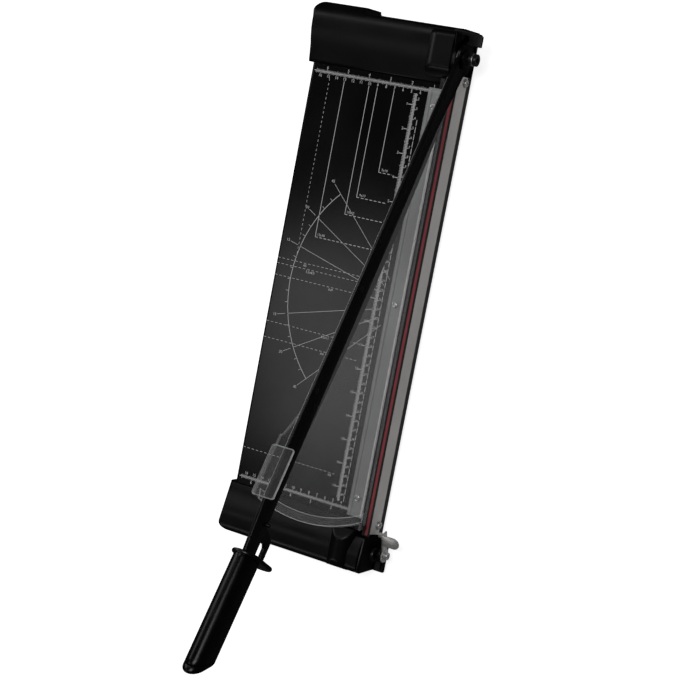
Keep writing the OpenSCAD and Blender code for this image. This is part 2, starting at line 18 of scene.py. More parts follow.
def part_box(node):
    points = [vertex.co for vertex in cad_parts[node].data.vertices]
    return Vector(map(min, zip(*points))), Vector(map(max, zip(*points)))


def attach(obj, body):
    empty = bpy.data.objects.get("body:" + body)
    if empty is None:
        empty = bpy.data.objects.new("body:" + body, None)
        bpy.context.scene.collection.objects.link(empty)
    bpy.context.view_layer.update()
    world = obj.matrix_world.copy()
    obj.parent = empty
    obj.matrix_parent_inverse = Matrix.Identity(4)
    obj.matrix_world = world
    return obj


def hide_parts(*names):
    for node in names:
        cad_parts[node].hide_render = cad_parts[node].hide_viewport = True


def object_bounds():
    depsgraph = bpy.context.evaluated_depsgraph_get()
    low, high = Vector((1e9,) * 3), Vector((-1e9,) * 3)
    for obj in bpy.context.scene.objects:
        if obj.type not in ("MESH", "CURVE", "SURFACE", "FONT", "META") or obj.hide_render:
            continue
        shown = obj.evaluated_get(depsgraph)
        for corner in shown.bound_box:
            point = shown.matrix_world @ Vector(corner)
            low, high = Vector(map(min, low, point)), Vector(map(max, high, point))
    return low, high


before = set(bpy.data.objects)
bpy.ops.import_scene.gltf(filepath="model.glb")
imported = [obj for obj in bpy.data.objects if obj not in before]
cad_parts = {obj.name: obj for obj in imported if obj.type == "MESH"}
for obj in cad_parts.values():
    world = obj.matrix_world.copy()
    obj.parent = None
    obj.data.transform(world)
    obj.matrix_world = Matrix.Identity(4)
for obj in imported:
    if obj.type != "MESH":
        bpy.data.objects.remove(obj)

CAD_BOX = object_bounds()
LOG = logging.getLogger("paper_cutter")
MM = 0.001
OUTWARDS = Vector((1, 0, 0))
INCH = 25.4
SIXTEENTH = INCH / 16

Point = tuple[float, float]
Colour = tuple[float, float, float]
Placer = Callable[[float, float, float], Vector]
Profile = Sequence[tuple[float, float, int]]


# ------------------------------------------------------------------ names


class Body(Enum):
    """The rigid bodies of the machine."""

    BASE = "base"
    ARM = "arm"
    CLAMP = "clamp"
    LATCH = "latch"


class Lay(Enum):
    """Which way the grain of a surface runs, as a stretch of its texture."""

    NONE = (1.0, 1.0, 1.0)
    ALONG = (1.0, 0.03, 1.0)
    ACROSS = (0.03, 1.0, 1.0)


class Texture(Enum):
    """How a surface breaks up the light."""

    FINE = "fine"
    MOULDED = "moulded"


# ------------------------------------------------------------------ datum


@dataclass(frozen=True)
class Datum:
    """The machine's own axes inside the frame.

    Attributes:
        origin: Where X, Y and Z are zero, in metres.
        pivot: Y and Z of the knife arm's pivot, in millimetres.
        arm_angle: Angle of the raised arm above the table, in radians.
        arm_centre: X of the middle of the arm bar, in millimetres.
        grip_start: Distance from the pivot to the start of the grip.
        grip_axis: Height of the grip's axis above the arm's axis.
        grip_tilt: Angle of the grip against the arm, in radians.
    """

    origin: Vector
    pivot: Point
    arm_angle: float
    arm_centre: float
    grip_start: float = 549.0
    grip_axis: float = 0.7
    grip_tilt: float = math.radians(1.5)

    def at(self, x: float, y: float, z: float) -> Vector:
        """Returns the place of a point given on the machine's axes."""
        return self.origin + Vector((x, y, z)) * MM

    def side(self, y: float, z: float, x: float) -> Vector:
        """Returns the place of a point of an outline seen from the side."""
        return self.at(x, y, z)

    def across(self, x: float, z: float, y: float) -> Vector:
        """Returns the place of a point of an outline seen from the front."""
        return self.at(x, y, z)

    def arm(self, u: float, w: float, x: float) -> Vector:
        """Returns the place of a point on the arm.

        Args:
            u: Distance along the arm from its pivot.
            w: Distance square to the arm, upwards.
            x: Place across the machine.

        Returns:
            The point in the frame, in metres.
        """
        c, s = math.cos(self.arm_angle), math.sin(self.arm_angle)
        return self.at(x, self.pivot[0] - u * c + w * s, self.pivot[1] + u * s + w * c)

    def grip(self, s: float, h: float, x: float) -> Vector:
        """Returns the place of a point on the grip.

        Args:
            s: Distance along the grip from the hand shield.
            h: Distance square to the grip, upwards.
            x: Distance from the middle of the arm, across the machine.

        Returns:
            The point in the frame, in metres.
        """
        c, k = math.cos(self.grip_tilt), math.sin(self.grip_tilt)
        u = self.grip_start + s * c - h * k
        w = self.grip_axis + s * k + h * c
        return self.arm(u, w, self.arm_centre + x)


def read_datum() -> Datum:
    """Finds the machine's axes from the frame's own parts.

    Returns:
        The datum that every sub-assembly is built on.
    """
    blade_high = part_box("fixed_blade")[1]
    table_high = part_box("table_plate")[1]
    bush_low, bush_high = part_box("pivot_bush")
    origin = Vector((blade_high.x, table_high.y, table_high.z))
    middle = ((bush_low + bush_high) / 2 - origin) / MM
    return Datum(origin, (middle.y, middle.z), math.radians(27.0), middle.x)


# --------------------------------------------------------------- finishes


class Graph:
    """A small writer of shader graphs around one principled shader."""

    def __init__(self, name: str) -> None:
        """Starts a new material with a shader and object coordinates.

        Args:
            name: Name of the material.
        """
        self.material = bpy.data.materials.new(name)
        self.material.use_nodes = True
        self.tree = self.material.node_tree
        self.tree.nodes.clear()
        self.shader = self.add("ShaderNodeBsdfPrincipled")
        output = self.add("ShaderNodeOutputMaterial")
        self.join(self.shader.outputs["BSDF"], output.inputs["Surface"])
        self.places = self.add("ShaderNodeTexCoord").outputs["Object"]

    def add(self, kind: str, **values: float) -> bpy.types.Node:
        """Adds a node.

        Args:
            kind: Blender's name of the node type.
            **values: Input values, with _ for each space in the input's name.

        Returns:
            The new node.
        """
        node = self.tree.nodes.new(kind)
        for key, value in values.items():
            node.inputs[key.replace("_", " ")].default_value = value
        return node

    def join(self, source: bpy.types.NodeSocket, target: bpy.types.NodeSocket) -> None:
        """Links an output to an input."""
        self.tree.links.new(source, target)

    def noise(self, size: float, detail: float = 2.0, lay: Lay = Lay.NONE) -> bpy.types.NodeSocket:
        """Adds a noise whose features have a given size.

        Args:
            size: Size of the features in millimetres.
            detail: Number of finer layers.
            lay: Direction that the features are drawn out in.

        Returns:
            The noise value, from 0 to 1.
        """
        stretch = self.add("ShaderNodeMapping")
        stretch.inputs["Scale"].default_value = lay.value
        self.join(self.places, stretch.inputs["Vector"])
        noise = self.add("ShaderNodeTexNoise", Scale=1.0 / (size * MM), Detail=detail, Roughness=0.55)
        self.join(stretch.outputs["Vector"], noise.inputs["Vector"])
        return noise.outputs["Fac"]

    def cells(self, size: float) -> bpy.types.NodeSocket:
        """Adds the cells of a spark-eroded mould surface.

        Args:
            size: Size of a cell in millimetres.

        Returns:
            The distance to the nearest cell centre.
        """
        cells = self.add("ShaderNodeTexVoronoi", Scale=1.0 / (size * MM))
        self.join(self.places, cells.inputs["Vector"])
        return cells.outputs["Distance"]

    def spread(self, source: bpy.types.NodeSocket, low: float, high: float,
               first: float = 0.3, last: float = 0.7) -> bpy.types.NodeSocket:
        """Maps the middle of a noise onto a range of values.

        Args:
            source: The noise.
            low: Value where the noise is at or below first.
            high: Value where the noise is at or above last.
            first: Lower end of the noise's useful range.
            last: Upper end of the noise's useful range.

        Returns:
            The mapped value.
        """
        node = self.add("ShaderNodeMapRange", From_Min=first, From_Max=last, To_Min=low, To_Max=high)
        self.join(source, node.inputs["Value"])
        return node.outputs["Result"]

    def blend(self, factor: bpy.types.NodeSocket, first: Colour, second: Colour) -> bpy.types.NodeSocket:
        """Mixes two colours by a factor.

        Args:
            factor: Share of the second colour.
            first: Colour where the factor is 0.
            second: Colour where the factor is 1.

        Returns:
            The mixed colour.
        """
        node = self.add("ShaderNodeMix")
        node.data_type = "RGBA"
        node.inputs[6].default_value = (*first, 1.0)
        node.inputs[7].default_value = (*second, 1.0)
        self.join(factor, node.inputs[0])
        return node.outputs[2]

    def bump(self, height: bpy.types.NodeSocket, depth: float) -> None:
        """Raises the surface by a height.

        Args:
            height: The height, from 0 to 1.
            depth: Size of a full step in millimetres.
        """
        node = self.add("ShaderNodeBump", Strength=1.0, Distance=depth * MM)
        self.join(height, node.inputs["Height"])
        self.join(node.outputs["Normal"], self.shader.inputs["Normal"])


@dataclass(frozen=True)
class Finish:
    """A surface finish and the shader that shows it.

    Attributes:
        name: Name of the finish.
        slot: Material slot of the record that it belongs to. Not used.
        colour: Main colour.
        tint: Colour of its other patches.
        roughness: Least and greatest roughness.
        metallic: 1 for bare metal.
        specular: Strength of the reflection of a non-metal.
        texture: How the surface breaks up the light.
        lay: Direction of the grain.
        grain: Size of the grain in millimetres.
        depth: Depth of the grain in millimetres.
        patch: Size of the patches in millimetres.
        alpha: Share of light that the surface stops.
        coat: Strength of a clear lacquer.
    """

    name: str
    slot: str
    colour: Colour
    tint: Colour
    roughness: tuple[float, float]
    metallic: float = 0.0
    specular: float = 0.5
    texture: Texture = Texture.FINE
    lay: Lay = Lay.NONE
    grain: float = 0.4
    depth: float = 0.01
    patch: float = 30.0
    alpha: float = 1.0
    coat: float = 0.0

    def material(self) -> bpy.types.Material:
        """Returns the finish's material, made the first time it is asked for."""
        return bpy.data.materials.get(self.name) or self.mixed()

    def mixed(self) -> bpy.types.Material:
        """Builds the material.

        Returns:
            The new material.
        """
        graph = Graph(self.name)
        shader = graph.shader.inputs
        patches = graph.noise(self.patch, 3.0)
        grain = graph.noise(self.grain, 2.0, self.lay)
        shade = graph.spread(patches, 0.0, 1.0)
        graph.join(graph.blend(shade, self.colour, self.tint), shader["Base Color"])
        rough_source = grain if self.lay is not Lay.NONE else patches
        graph.join(graph.spread(rough_source, *self.roughness), shader["Roughness"])
        height = graph.cells(self.grain) if self.texture is Texture.MOULDED else grain
        graph.bump(height, self.depth)
        shader["Metallic"].default_value = self.metallic
        shader["Specular IOR Level"].default_value = self.specular
        shader["Coat Weight"].default_value = self.coat
        shader["Coat Roughness"].default_value = 0.12
        shader["Alpha"].default_value = self.alpha
        return graph.material


def grey(level: float, warmth: float = 0.0) -> Colour:
    """Returns a grey of that level, with a little more red and less blue."""
    return (level * (1 + warmth), level, level * (1 - warmth))


class Finishes:
    """Every finish on the machine."""

    TABLE = Finish("table_powder_coat", "table_paint", grey(0.001), grey(0.002), (0.17, 0.21),
                   grain=0.5, depth=0.004, patch=70)
    BASE = Finish("base_sheet_steel", "base_steel", grey(0.010), grey(0.016), (0.42, 0.52),
                  specular=0.3, grain=0.7, depth=0.006)
    RUBBER = Finish("foot_rubber", "rubber", grey(0.010), grey(0.016), (0.7, 0.85),
                    specular=0.3, texture=Texture.MOULDED, grain=0.6, depth=0.02)
    ZINC = Finish("zinc_plated_screws", "zinc_screws", grey(0.52, 0.02), grey(0.42), (0.3, 0.42),
                  metallic=1, grain=0.3, depth=0.004, patch=4)
    CAP = Finish("cap_moulding", "cap_plastic", grey(0.0012), grey(0.002), (0.3, 0.37),
                 specular=0.25, texture=Texture.MOULDED, grain=0.45, depth=0.006, patch=45)
    RAIL = Finish("rail_paint", "rail_paint", grey(0.002), grey(0.003), (0.4, 0.5),
                  specular=0.15, grain=0.6, depth=0.005)
    BLADE = Finish("fixed_blade_steel", "blade_steel", grey(0.50, 0.03), grey(0.43, 0.03),
                   (0.34, 0.5), metallic=0.3, lay=Lay.ALONG, grain=0.5, depth=0.003, patch=60)
    KNIFE = Finish("knife_steel", "knife_steel", grey(0.16), grey(0.11), (0.32, 0.46),
                   metallic=1, lay=Lay.ALONG, depth=0.003, patch=50)
    GROUND = Finish("ground_knife_edge", "knife_steel", grey(0.5), grey(0.42), (0.2, 0.32),
                    metallic=1, lay=Lay.ACROSS, grain=0.35, depth=0.002, patch=20)
    BRIGHT = Finish("bright_fasteners", "bright_steel", grey(0.62), grey(0.5), (0.2, 0.32),
                    metallic=0.55, grain=0.25, depth=0.003, patch=5)
    EDGE = Finish("edge_film", "edge_film", grey(0.001), grey(0.002), (0.38, 0.46),
                  specular=0.1, grain=0.5, depth=0.003)
    RED = Finish("cut_line_film", "red_film", (0.44, 0.08, 0.095), (0.36, 0.06, 0.075),
                 (0.4, 0.5), specular=0.3, depth=0.003)
    HINGE = Finish("hinge_steel", "hinge_steel", grey(0.003), grey(0.005), (0.34, 0.45),
                   specular=0.3, grain=0.5, depth=0.006, patch=12)
    DARK = Finish("black_oxide_screws", "dark_screws", grey(0.02), grey(0.03), (0.28, 0.38),
                  metallic=0.6, grain=0.3, depth=0.004, patch=4)
    BLACK = Finish("blackened_rivets", "dark_screws", grey(0.002), grey(0.004), (0.3, 0.4),
                   specular=0.3, grain=0.3, depth=0.004, patch=4)
    WASHER = Finish("washer_steel", "washer_steel", grey(0.4), grey(0.32), (0.26, 0.38),
                    metallic=1, lay=Lay.ACROSS, grain=0.3, depth=0.003, patch=8)
    BRONZE = Finish("bush_bronze", "bronze", (0.45, 0.28, 0.10), (0.36, 0.21, 0.07), (0.3, 0.45),
                    metallic=1, grain=0.2, depth=0.004, patch=3)
    ARM = Finish("arm_enamel", "arm_paint", grey(0.001), grey(0.0018), (0.24, 0.3),
                 specular=0.35, grain=0.6, depth=0.004, patch=40)
    SHIELD = Finish("shield_moulding", "shield_plastic", grey(0.001), grey(0.0018), (0.26, 0.33),
                    specular=0.4, texture=Texture.MOULDED, grain=0.5, depth=0.005)
    GRIP = Finish("grip_moulding", "grip_plastic", grey(0.001), grey(0.0018), (0.2, 0.27),
                  specular=0.22, grain=0.7, depth=0.003, patch=25)
    CLEAR = Finish("clear_guard_sheet", "clear_plastic", grey(0.62, -0.01), grey(0.5, -0.01),
                   (0.1, 0.2), grain=1.2, depth=0.002, patch=80, alpha=0.045)
    # Painted highlight: the guard's edge faces get a whiter, less clear finish for the light caught along
    # them.
    CLEAR_HIGHLIGHT_EDGE = Finish("clear_guard_edge_highlight", "clear_plastic", grey(0.86, -0.01), grey(0.7, -0.01),
                        (0.15, 0.3), grain=0.8, depth=0.003, patch=12, alpha=0.42)
    # Painted highlight: the guard plate's cut edges get a whiter, less clear finish for the light caught
    # along them.
    CLEAR_CUT_HIGHLIGHT = Finish("clear_guard_cut_highlight", "clear_plastic", grey(0.8, -0.01), grey(0.66, -0.01),
                       (0.15, 0.3), grain=0.8, depth=0.003, patch=12, alpha=0.16)
    GUARD_BLACK = Finish("guard_foot_moulding", "guard_black", grey(0.006), grey(0.01),
                         (0.34, 0.45), specular=0.4, texture=Texture.MOULDED, grain=0.5, depth=0.005)
    CLAMP = Finish("clamp_strip_sheet", "clamp_clear", grey(0.68, -0.01), grey(0.55, -0.01),
                   (0.14, 0.26), grain=1.0, depth=0.002, patch=60, alpha=0.44)
    # Painted highlight: the clamp strip's outer side face is near white and nearly opaque, for the bright
    # line of light along that edge.
    CLAMP_HIGHLIGHT_EDGE = Finish("clamp_strip_edge_highlight", "clamp_clear", grey(0.9, -0.01), grey(0.75, -0.01),
                        (0.15, 0.3), grain=0.8, depth=0.003, patch=12, alpha=0.95)
    LATCH = Finish("latch_spring_steel", "latch_steel", grey(0.5, 0.02), grey(0.42, 0.02),
                   (0.22, 0.34), metallic=0.45, lay=Lay.ALONG, grain=0.3, depth=0.003, patch=9)
    INK = Finish("table_print_ink", "table_paint", grey(0.88), grey(0.78), (0.5, 0.6),
                 specular=0.2, grain=0.3, depth=0.002, patch=9)


# ---------------------------------------------------------------- shaping


def arc(centre: Point, radius: float, first: float, last: float, steps: int = 12) -> list[Point]:
    """Gives points along an arc.

    Args:
        centre: Centre of the arc.
        radius: Radius of the arc.
        first: Angle of the first point in degrees.
        last: Angle of the last point in degrees.
        steps: Number of stretches between the points.

    Returns:
        The points, ends included.
    """
    angles = [math.radians(first + (last - first) * i / steps) for i in range(steps + 1)]
    return [(centre[0] + radius * math.cos(a), centre[1] + radius * math.sin(a)) for a in angles]


def rounded(points: Sequence[Point], radius: float, steps: int = 5) -> list[Point]:
    """Rounds the corners of a closed outline.

    Args:
        points: Corners of the outline.
        radius: Radius of the rounding, less where a side is too short.
        steps: Number of stretches in each corner.

    Returns:
        The rounded outline.
    """
    result: list[Point] = []
    count = len(points)
    for i, corner in enumerate(points):
        here = Vector(corner)
        back = Vector(points[i - 1]) - here
        ahead = Vector(points[(i + 1) % count]) - here
        cosine = max(-1.0, min(1.0, back.normalized().dot(ahead.normalized())))
        half = math.acos(cosine) / 2
        reach = min(radius / max(math.tan(half), 0.01), back.length * 0.45, ahead.length * 0.45)
        if half > math.radians(80):
            result.append(corner)
            continue
        start, end = here + back.normalized() * reach, here + ahead.normalized() * reach
        for k in range(steps + 1):
            t = k / steps
            spot = start * (1 - t) ** 2 + here * (2 * t * (1 - t)) + end * t ** 2
            result.append((spot.x, spot.y))
    return result


def box_outline(x0: float, y0: float, x1: float, y1: float, radius: float) -> list[Point]:
    """Returns a rectangle with round corners."""
    return rounded([(x0, y0), (x1, y0), (x1, y1), (x0, y1)], radius)


def turned_left(outline: Sequence[Point]) -> list[Point]:
    """Returns the outline so that it runs anticlockwise."""
    area = sum(a[0] * b[1] - b[0] * a[1] for a, b in zip(outline, [*outline[1:], outline[0]]))
    return list(outline) if area > 0 else list(reversed(outline))


def drawn_in(outline: Sequence[Point], distance: float) -> list[Point]:
    """Moves an anticlockwise outline inwards.

    Args:
        outline: The outline.
        distance: How far each side moves.

    Returns:
        The smaller outline, with as many points.
    """
    moved: list[Point] = []
    count = len(outline)
    for i, spot in enumerate(outline):
        back = (Vector(spot) - Vector(outline[i - 1])).normalized()
        ahead = (Vector(outline[(i + 1) % count]) - Vector(spot)).normalized()
        first, second = Vector((-back.y, back.x)), Vector((-ahead.y, ahead.x))
        middle = first + second
        if middle.length < 1e-6:
            moved.append(spot)
            continue
        middle.normalize()
        step = distance / max(middle.dot(first), 0.5)
        moved.append((spot[0] + middle.x * step, spot[1] + middle.y * step))
    return moved


class Shape:
    """A mesh under construction, and the piece that it becomes."""

    def __init__(self, name: str, body: Body, *finishes: Finish) -> None:
        """Starts an empty mesh.

        Args:
            name: Name of the piece.
            body: Body that the piece rides on.
            *finishes: Its finishes. The first is the main one.
        """
        self.name = name
        self.body = body
        self.finishes = finishes
        self.mesh = bmesh.new()

    def ring(self, points: Iterable[Vector]) -> list[bmesh.types.BMVert]:
        """Returns new vertices at the points."""
        return [self.mesh.verts.new(p) for p in points]

    def skin(self, first: list[bmesh.types.BMVert], second: list[bmesh.types.BMVert],
             finish: int = 0) -> None:
        """Joins two closed rings with a band of faces.

        Args:
            first: One ring.
            second: The other ring, with as many vertices.
            finish: Number of the finish on the band.
        """
        count = len(first)
        for i in range(count):
            k = (i + 1) % count
            face = self.mesh.faces.new((first[i], first[k], second[k], second[i]))
            face.material_index = finish

    def lid(self, ring: list[bmesh.types.BMVert]) -> None:
        """Closes a ring with a flat face."""
        self.mesh.faces.new(ring)

    def stack(self, rings: list[list[bmesh.types.BMVert]], finish: int = 0, hollow: bool = False) -> None:
        """Joins rings one after the other and closes the two ends.

        Args:
            rings: The rings, each with as many vertices.
            finish: Number of the finish on the bands.
            hollow: Whether the last ring joins the first, round a bore.
        """
        if hollow:
            self.skin(rings[-1], rings[0], finish)
        else:
            self.lid(rings[0])
            self.lid(rings[-1])
        for first, second in zip(rings, rings[1:]):
            self.skin(first, second, finish)

    def slab(self, outline: Sequence[Point], low: float, high: float, place: Placer,
             radius: float = 0.4, rim: int = 0, steps: int = 3) -> None:
        """Adds a plate of even thickness with eased edges.

        Args:
            outline: Outline of the plate.
            low: Where its first face lies.
            high: Where its second face lies.
            place: Turns two outline coordinates and a height into a place.
            radius: Radius of its edges.
            rim: Number of the finish on its rim.
            steps: Number of stretches across an edge's rounding.
        """
        ring = turned_left(outline)
        radius = min(radius, (high - low) * 0.49)
        bends = [math.pi / 2 * i / steps for i in range(steps + 1)]
        levels = [(radius * (1 - math.sin(a)), low + radius * (1 - math.cos(a))) for a in bends]
        levels += [(d, low + high - z) for d, z in reversed(levels)]
        rings = [self.ring(place(x, y, z) for x, y in drawn_in(ring, d)) for d, z in levels]
        self.stack(rings, rim)

    def turned(self, centre: Vector, axis: Vector, profile: Profile,
               segments: int = 48, hollow: bool = False) -> None:
        """Adds a turned part.

        Args:
            centre: Where its axis starts, in metres.
            axis: Direction of its axis.
            profile: Radius, height and number of sides (0 for round) of each ring.
            segments: Number of faces around it.
            hollow: Whether the profile closes on itself around a bore.
        """
        turn = axis.to_track_quat("Z", "Y").to_matrix()
        rings = []
        for radius, height, sides in profile:
            spots = []
            for i in range(segments):
                angle = 2 * math.pi * i / segments
                reach = radius
                if sides:
                    sector = 2 * math.pi / sides
                    reach = radius * math.cos(sector / 2) / math.cos(angle % sector - sector / 2)
                local = Vector((reach * math.cos(angle), reach * math.sin(angle), height))
                spots.append(centre + turn @ (local * MM))
            rings.append(self.ring(spots))
        self.stack(rings, hollow=hollow)

    def mound(self, outline: Sequence[Point], floor: float, top: Callable[[float, float], float],
              place: Placer, radius: float, spacing: float, steps: int = 6) -> None:
        """Adds a moulding whose top follows a height, rounded along its rim.

        Args:
            outline: Outline from above.
            floor: Height of its underside.
            top: Height of its top at a point.
            place: Turns a point and a height into a place.
            radius: Radius of its rim.
            spacing: Distance between the lines of its top surface.
            steps: Number of stretches across the rounding.
        """
        plan = turned_left(outline)
        base = self.ring(place(x, y, floor) for x, y in plan)
        self.lid(base)
        previous = base
        inner: list[Point] = plan
        for i in range(steps + 1):
            bend = math.pi / 2 * i / steps
            inner = drawn_in(plan, radius * (1 - math.cos(bend)))
            drop = radius * (1 - math.sin(bend))
            ring = self.ring(place(x, y, top(x, y) - drop) for x, y in inner)
            self.skin(previous, ring)
            previous = ring
        self.draped(inner, previous, top, place, spacing)

    def draped(self, plan: list[Point], rim: list[bmesh.types.BMVert],
               top: Callable[[float, float], float], place: Placer, spacing: float) -> None:
        """Closes a mound with a surface that follows its height.

        Args:
            plan: Outline of the surface from above.
            rim: Vertices on that outline.
            top: Height of the surface at a point.
            place: Turns a point and a height into a place.
            spacing: Distance between the lines of the surface.
        """
        sheet = bmesh.new()
        sheet.faces.new([sheet.verts.new((x, y, 0)) for x, y in plan])
        for axis in (0, 1):
            low, high = min(p[axis] for p in plan), max(p[axis] for p in plan)
            normal = Vector((1 - axis, axis, 0))
            for i in range(1, int((high - low) / spacing)):
                everything = sheet.verts[:] + sheet.edges[:] + sheet.faces[:]
                bmesh.ops.bisect_plane(sheet, geom=everything, dist=1e-5,
                                       plane_co=normal * (low + spacing * i), plane_no=normal)
        copies = {v: self.mesh.verts.new(place(v.co.x, v.co.y, top(v.co.x, v.co.y))) for v in sheet.verts}
        for face in sheet.faces:
            self.mesh.faces.new([copies[v] for v in face.verts])
        sheet.free()

    def smoothed(self, sharp: float = 40.0) -> bpy.types.Mesh:
        """Turns the construction into a mesh.

        Args:
            sharp: Edges that bend by more degrees than this stay crisp.

        Returns:
            The mesh.
        """
        bmesh.ops.remove_doubles(self.mesh, verts=self.mesh.verts[:], dist=2e-6)
        bmesh.ops.recalc_face_normals(self.mesh, faces=self.mesh.faces[:])
        data = bpy.data.meshes.new(self.name)
        self.mesh.to_mesh(data)
        self.mesh.free()
        data.polygons.foreach_set("use_smooth", [True] * len(data.polygons))
        data.set_sharp_from_angle(angle=math.radians(sharp))
        for finish in self.finishes:
            data.materials.append(finish.material())
        return data

    def finished(self, *nodes: str, sharp: float = 40.0) -> None:
        """Puts the piece into the machine.

        Args:
            *nodes: Frame nodes that the piece stands for.
            sharp: Edges that bend by more degrees than this stay crisp.
        """
        piece = bpy.data.objects.new(self.name, self.smoothed(sharp))
        bpy.context.scene.collection.objects.link(piece)
        if nodes:
            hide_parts(*nodes)
        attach(piece, self.body.value)
        LOG.info("%s: %d faces on %s", self.name, len(piece.data.polygons), self.body.value)


def dress(finish: Finish, *nodes: str) -> None:
    """Gives frame nodes their finish.

    Args:
        finish: The finish.
        *nodes: Names of the nodes.
    """
    for node in nodes:
        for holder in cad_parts[node].material_slots:
            holder.material = finish.material()
        LOG.info("%s: dressed in %s", node, finish.name)


def turned_piece(name: str, node: str, body: Body, finish: Finish, profile: Profile, *seats: Vector) -> None:
    """Builds turned parts that point outwards, as one piece.

    Args:
        name: Name of the piece.
        node: Frame node that it stands for.
        body: Body that it rides on.
        finish: Its finish.
        profile: Radius, height and number of sides of each ring.
        *seats: Where each part starts, in metres.
    """
    piece = Shape(name, body, finish)
    for seat in seats:
        piece.turned(seat, OUTWARDS, profile)
    piece.finished(node)


# ------------------------------------------------------------------ table


@dataclass
class Table:
    """The folded steel table with its floor, ribs and feet."""

    def build(self) -> None:
        """Dresses the frame's own sheet metal and rubber."""
        dress(Finishes.TABLE, "table_plate")
        dress(Finishes.BASE, "floor_plate", "cross_ribs")
        dress(Finishes.RUBBER, "rubber_feet")
        dress(Finishes.ZINC, "feet_screws")


@dataclass
class TablePrint:
    """The rulers, paper sizes and angles printed on the table."""

    datum: Datum
    length: float = 460.0
    width: float = 172.0
    thin: float = 0.42
    thick: float = 0.62
    lift: float = 0.05
    figure_size: float = 4.3
    label_size: float = 3.7
    rule_start: float = 11.0
    ruler_rear: float = -7.8
    ruler_front: float = -452.0
    side_ruler: float = -45.0
    side_rule_line: float = -37.6
    angle_centre: Point = (-9.5, -230.0)
    angle_radius: float = 141.0
    angle_reach: float = 154.0
    glyphs: dict[str, bpy.types.Mesh] = field(default_factory=dict)

    def build(self) -> None:
        """Prints everything as one thin layer of ink."""
        self.sheet = Shape("table_print", Body.BASE, Finishes.INK)
        self.cross_ruler(self.ruler_rear, -1)
        self.cross_ruler(self.ruler_front, 1)
        self.long_ruler()
        self.photo_sizes()
        self.sheet_sizes()
        self.angles()
        self.sheet.finished()

    def stroke(self, start: Point, end: Point, width: float) -> None:
        """Prints a straight line.

        Args:
            start: First end.
            end: Second end.
            width: Width of the line.
        """
        a, b = Vector(start), Vector(end)
        along = (b - a).normalized()
        aside = Vector((-along.y, along.x)) * width / 2
        corners = (a - aside, b - aside, b + aside, a + aside)
        ring = self.sheet.ring(self.datum.at(c.x, c.y, self.lift) for c in corners)
        self.sheet.lid(ring)

    def dashes(self, start: Point, end: Point, width: float, dash: float = 3.2, gap: float = 2.0) -> None:
        """Prints a dashed line.

        Args:
            start: First end.
            end: Second end.
            width: Width of the line.
            dash: Length of a dash.
            gap: Length of a gap.
        """
        a, b = Vector(start), Vector(end)
        length = (b - a).length
        along = (b - a) / length
        for i in range(int(length / (dash + gap)) + 1):
            low = i * (dash + gap)
            high = min(low + dash, length)
            if high > low + 0.2:
                self.stroke((a + along * low)[:2], (a + along * high)[:2], width)

    def figure(self, text: str, spot: Point, size: float, turn: float = 0.0) -> None:
        """Prints a number or a paper size.

        Args:
            text: The characters.
            spot: Middle of the text.
            size: Height of a line of text.
            turn: Angle of the text in degrees.
        """
        if text not in self.glyphs:
            curve = bpy.data.curves.new("figure", "FONT")
            curve.body, curve.align_x, curve.align_y = text, "CENTER", "CENTER"
            curve.resolution_u = 2
            holder = bpy.data.objects.new("figure", curve)
            self.glyphs[text] = bpy.data.meshes.new_from_object(holder)
            bpy.data.objects.remove(holder)
        glyph = self.glyphs[text]
        c, s = math.cos(math.radians(turn)), math.sin(math.radians(turn))
        places = []
        for vertex in glyph.vertices:
            x, y = vertex.co.x * size, vertex.co.y * size
            places.append(self.datum.at(spot[0] + x * c - y * s, spot[1] + x * s + y * c, self.lift))
        ring = self.sheet.ring(places)
        for polygon in glyph.polygons:
            self.sheet.mesh.faces.new([ring[i] for i in polygon.vertices])

    def ticks(self, marks: range, step: float, place: Callable[[float, float], Point],
              lengths: tuple[float, float, float], every: tuple[int, int], width: float) -> None:
        """Prints the ticks of a scale.

        Args:
            marks: Numbers of the ticks, counted from the scale's zero.
            step: Distance between ticks.
            place: Turns a distance along the scale and a height off it into a point.
            lengths: Length of a short, a middle and a long tick.
            every: How many ticks lie between middle ticks and between long ones.
            width: Width of a tick.
        """
        for mark in marks:
            reach = lengths[2] if mark % every[1] == 0 else lengths[1] if mark % every[0] == 0 else lengths[0]
            self.stroke(place(mark * step, 0), place(mark * step, reach), width)

    def cross_ruler(self, line: float, side: int) -> None:
        """Prints a ruler across the table.

        Args:
            line: Where the ruler's line lies along the table.
            side: -1 where its centimetres lie below the line, 1 where above.
        """
        self.stroke((-self.rule_start, line), (-self.width + 4, line), self.thick)

        def metric(distance: float, reach: float) -> Point:
            """Returns a point on the centimetre side."""
            return (-distance, line + side * reach)

        def inches(distance: float, reach: float) -> Point:
            """Returns a point on the inch side."""
            return (-distance, line - side * reach)

        marks = range(int(self.rule_start) + 1, int(self.width - 6) + 1)
        self.ticks(marks, 1.0, metric, (1.8, 2.4, 3.0), (5, 10), self.thin)
        self.ticks(range(16, 105), SIXTEENTH, inches, (1.6, 2.2, 3.0), (8, 16), self.thin)
        for cm in range(2, 17):
            self.figure(str(cm), metric(10 * cm, 4.6), self.figure_size)
        for inch in range(1, 7):
            self.figure(str(inch), inches(INCH * inch, 4.4), self.figure_size)

    def long_ruler(self) -> None:
        """Prints the ruler along the cut, inches on its left, centimetres on its right."""
        line = self.side_ruler
        reach = self.length - 14
        self.stroke((line, -14), (line, -reach), self.thin)
        self.dashes((self.side_rule_line, -40), (self.side_rule_line, -reach), self.thick, 6.0, 1.4)

        def metric(distance: float, height: float) -> Point:
            """Returns a point on the centimetre side."""
            return (line + height, -distance)

        def inches(distance: float, height: float) -> Point:
            """Returns a point on the inch side."""
            return (line - height, -distance)

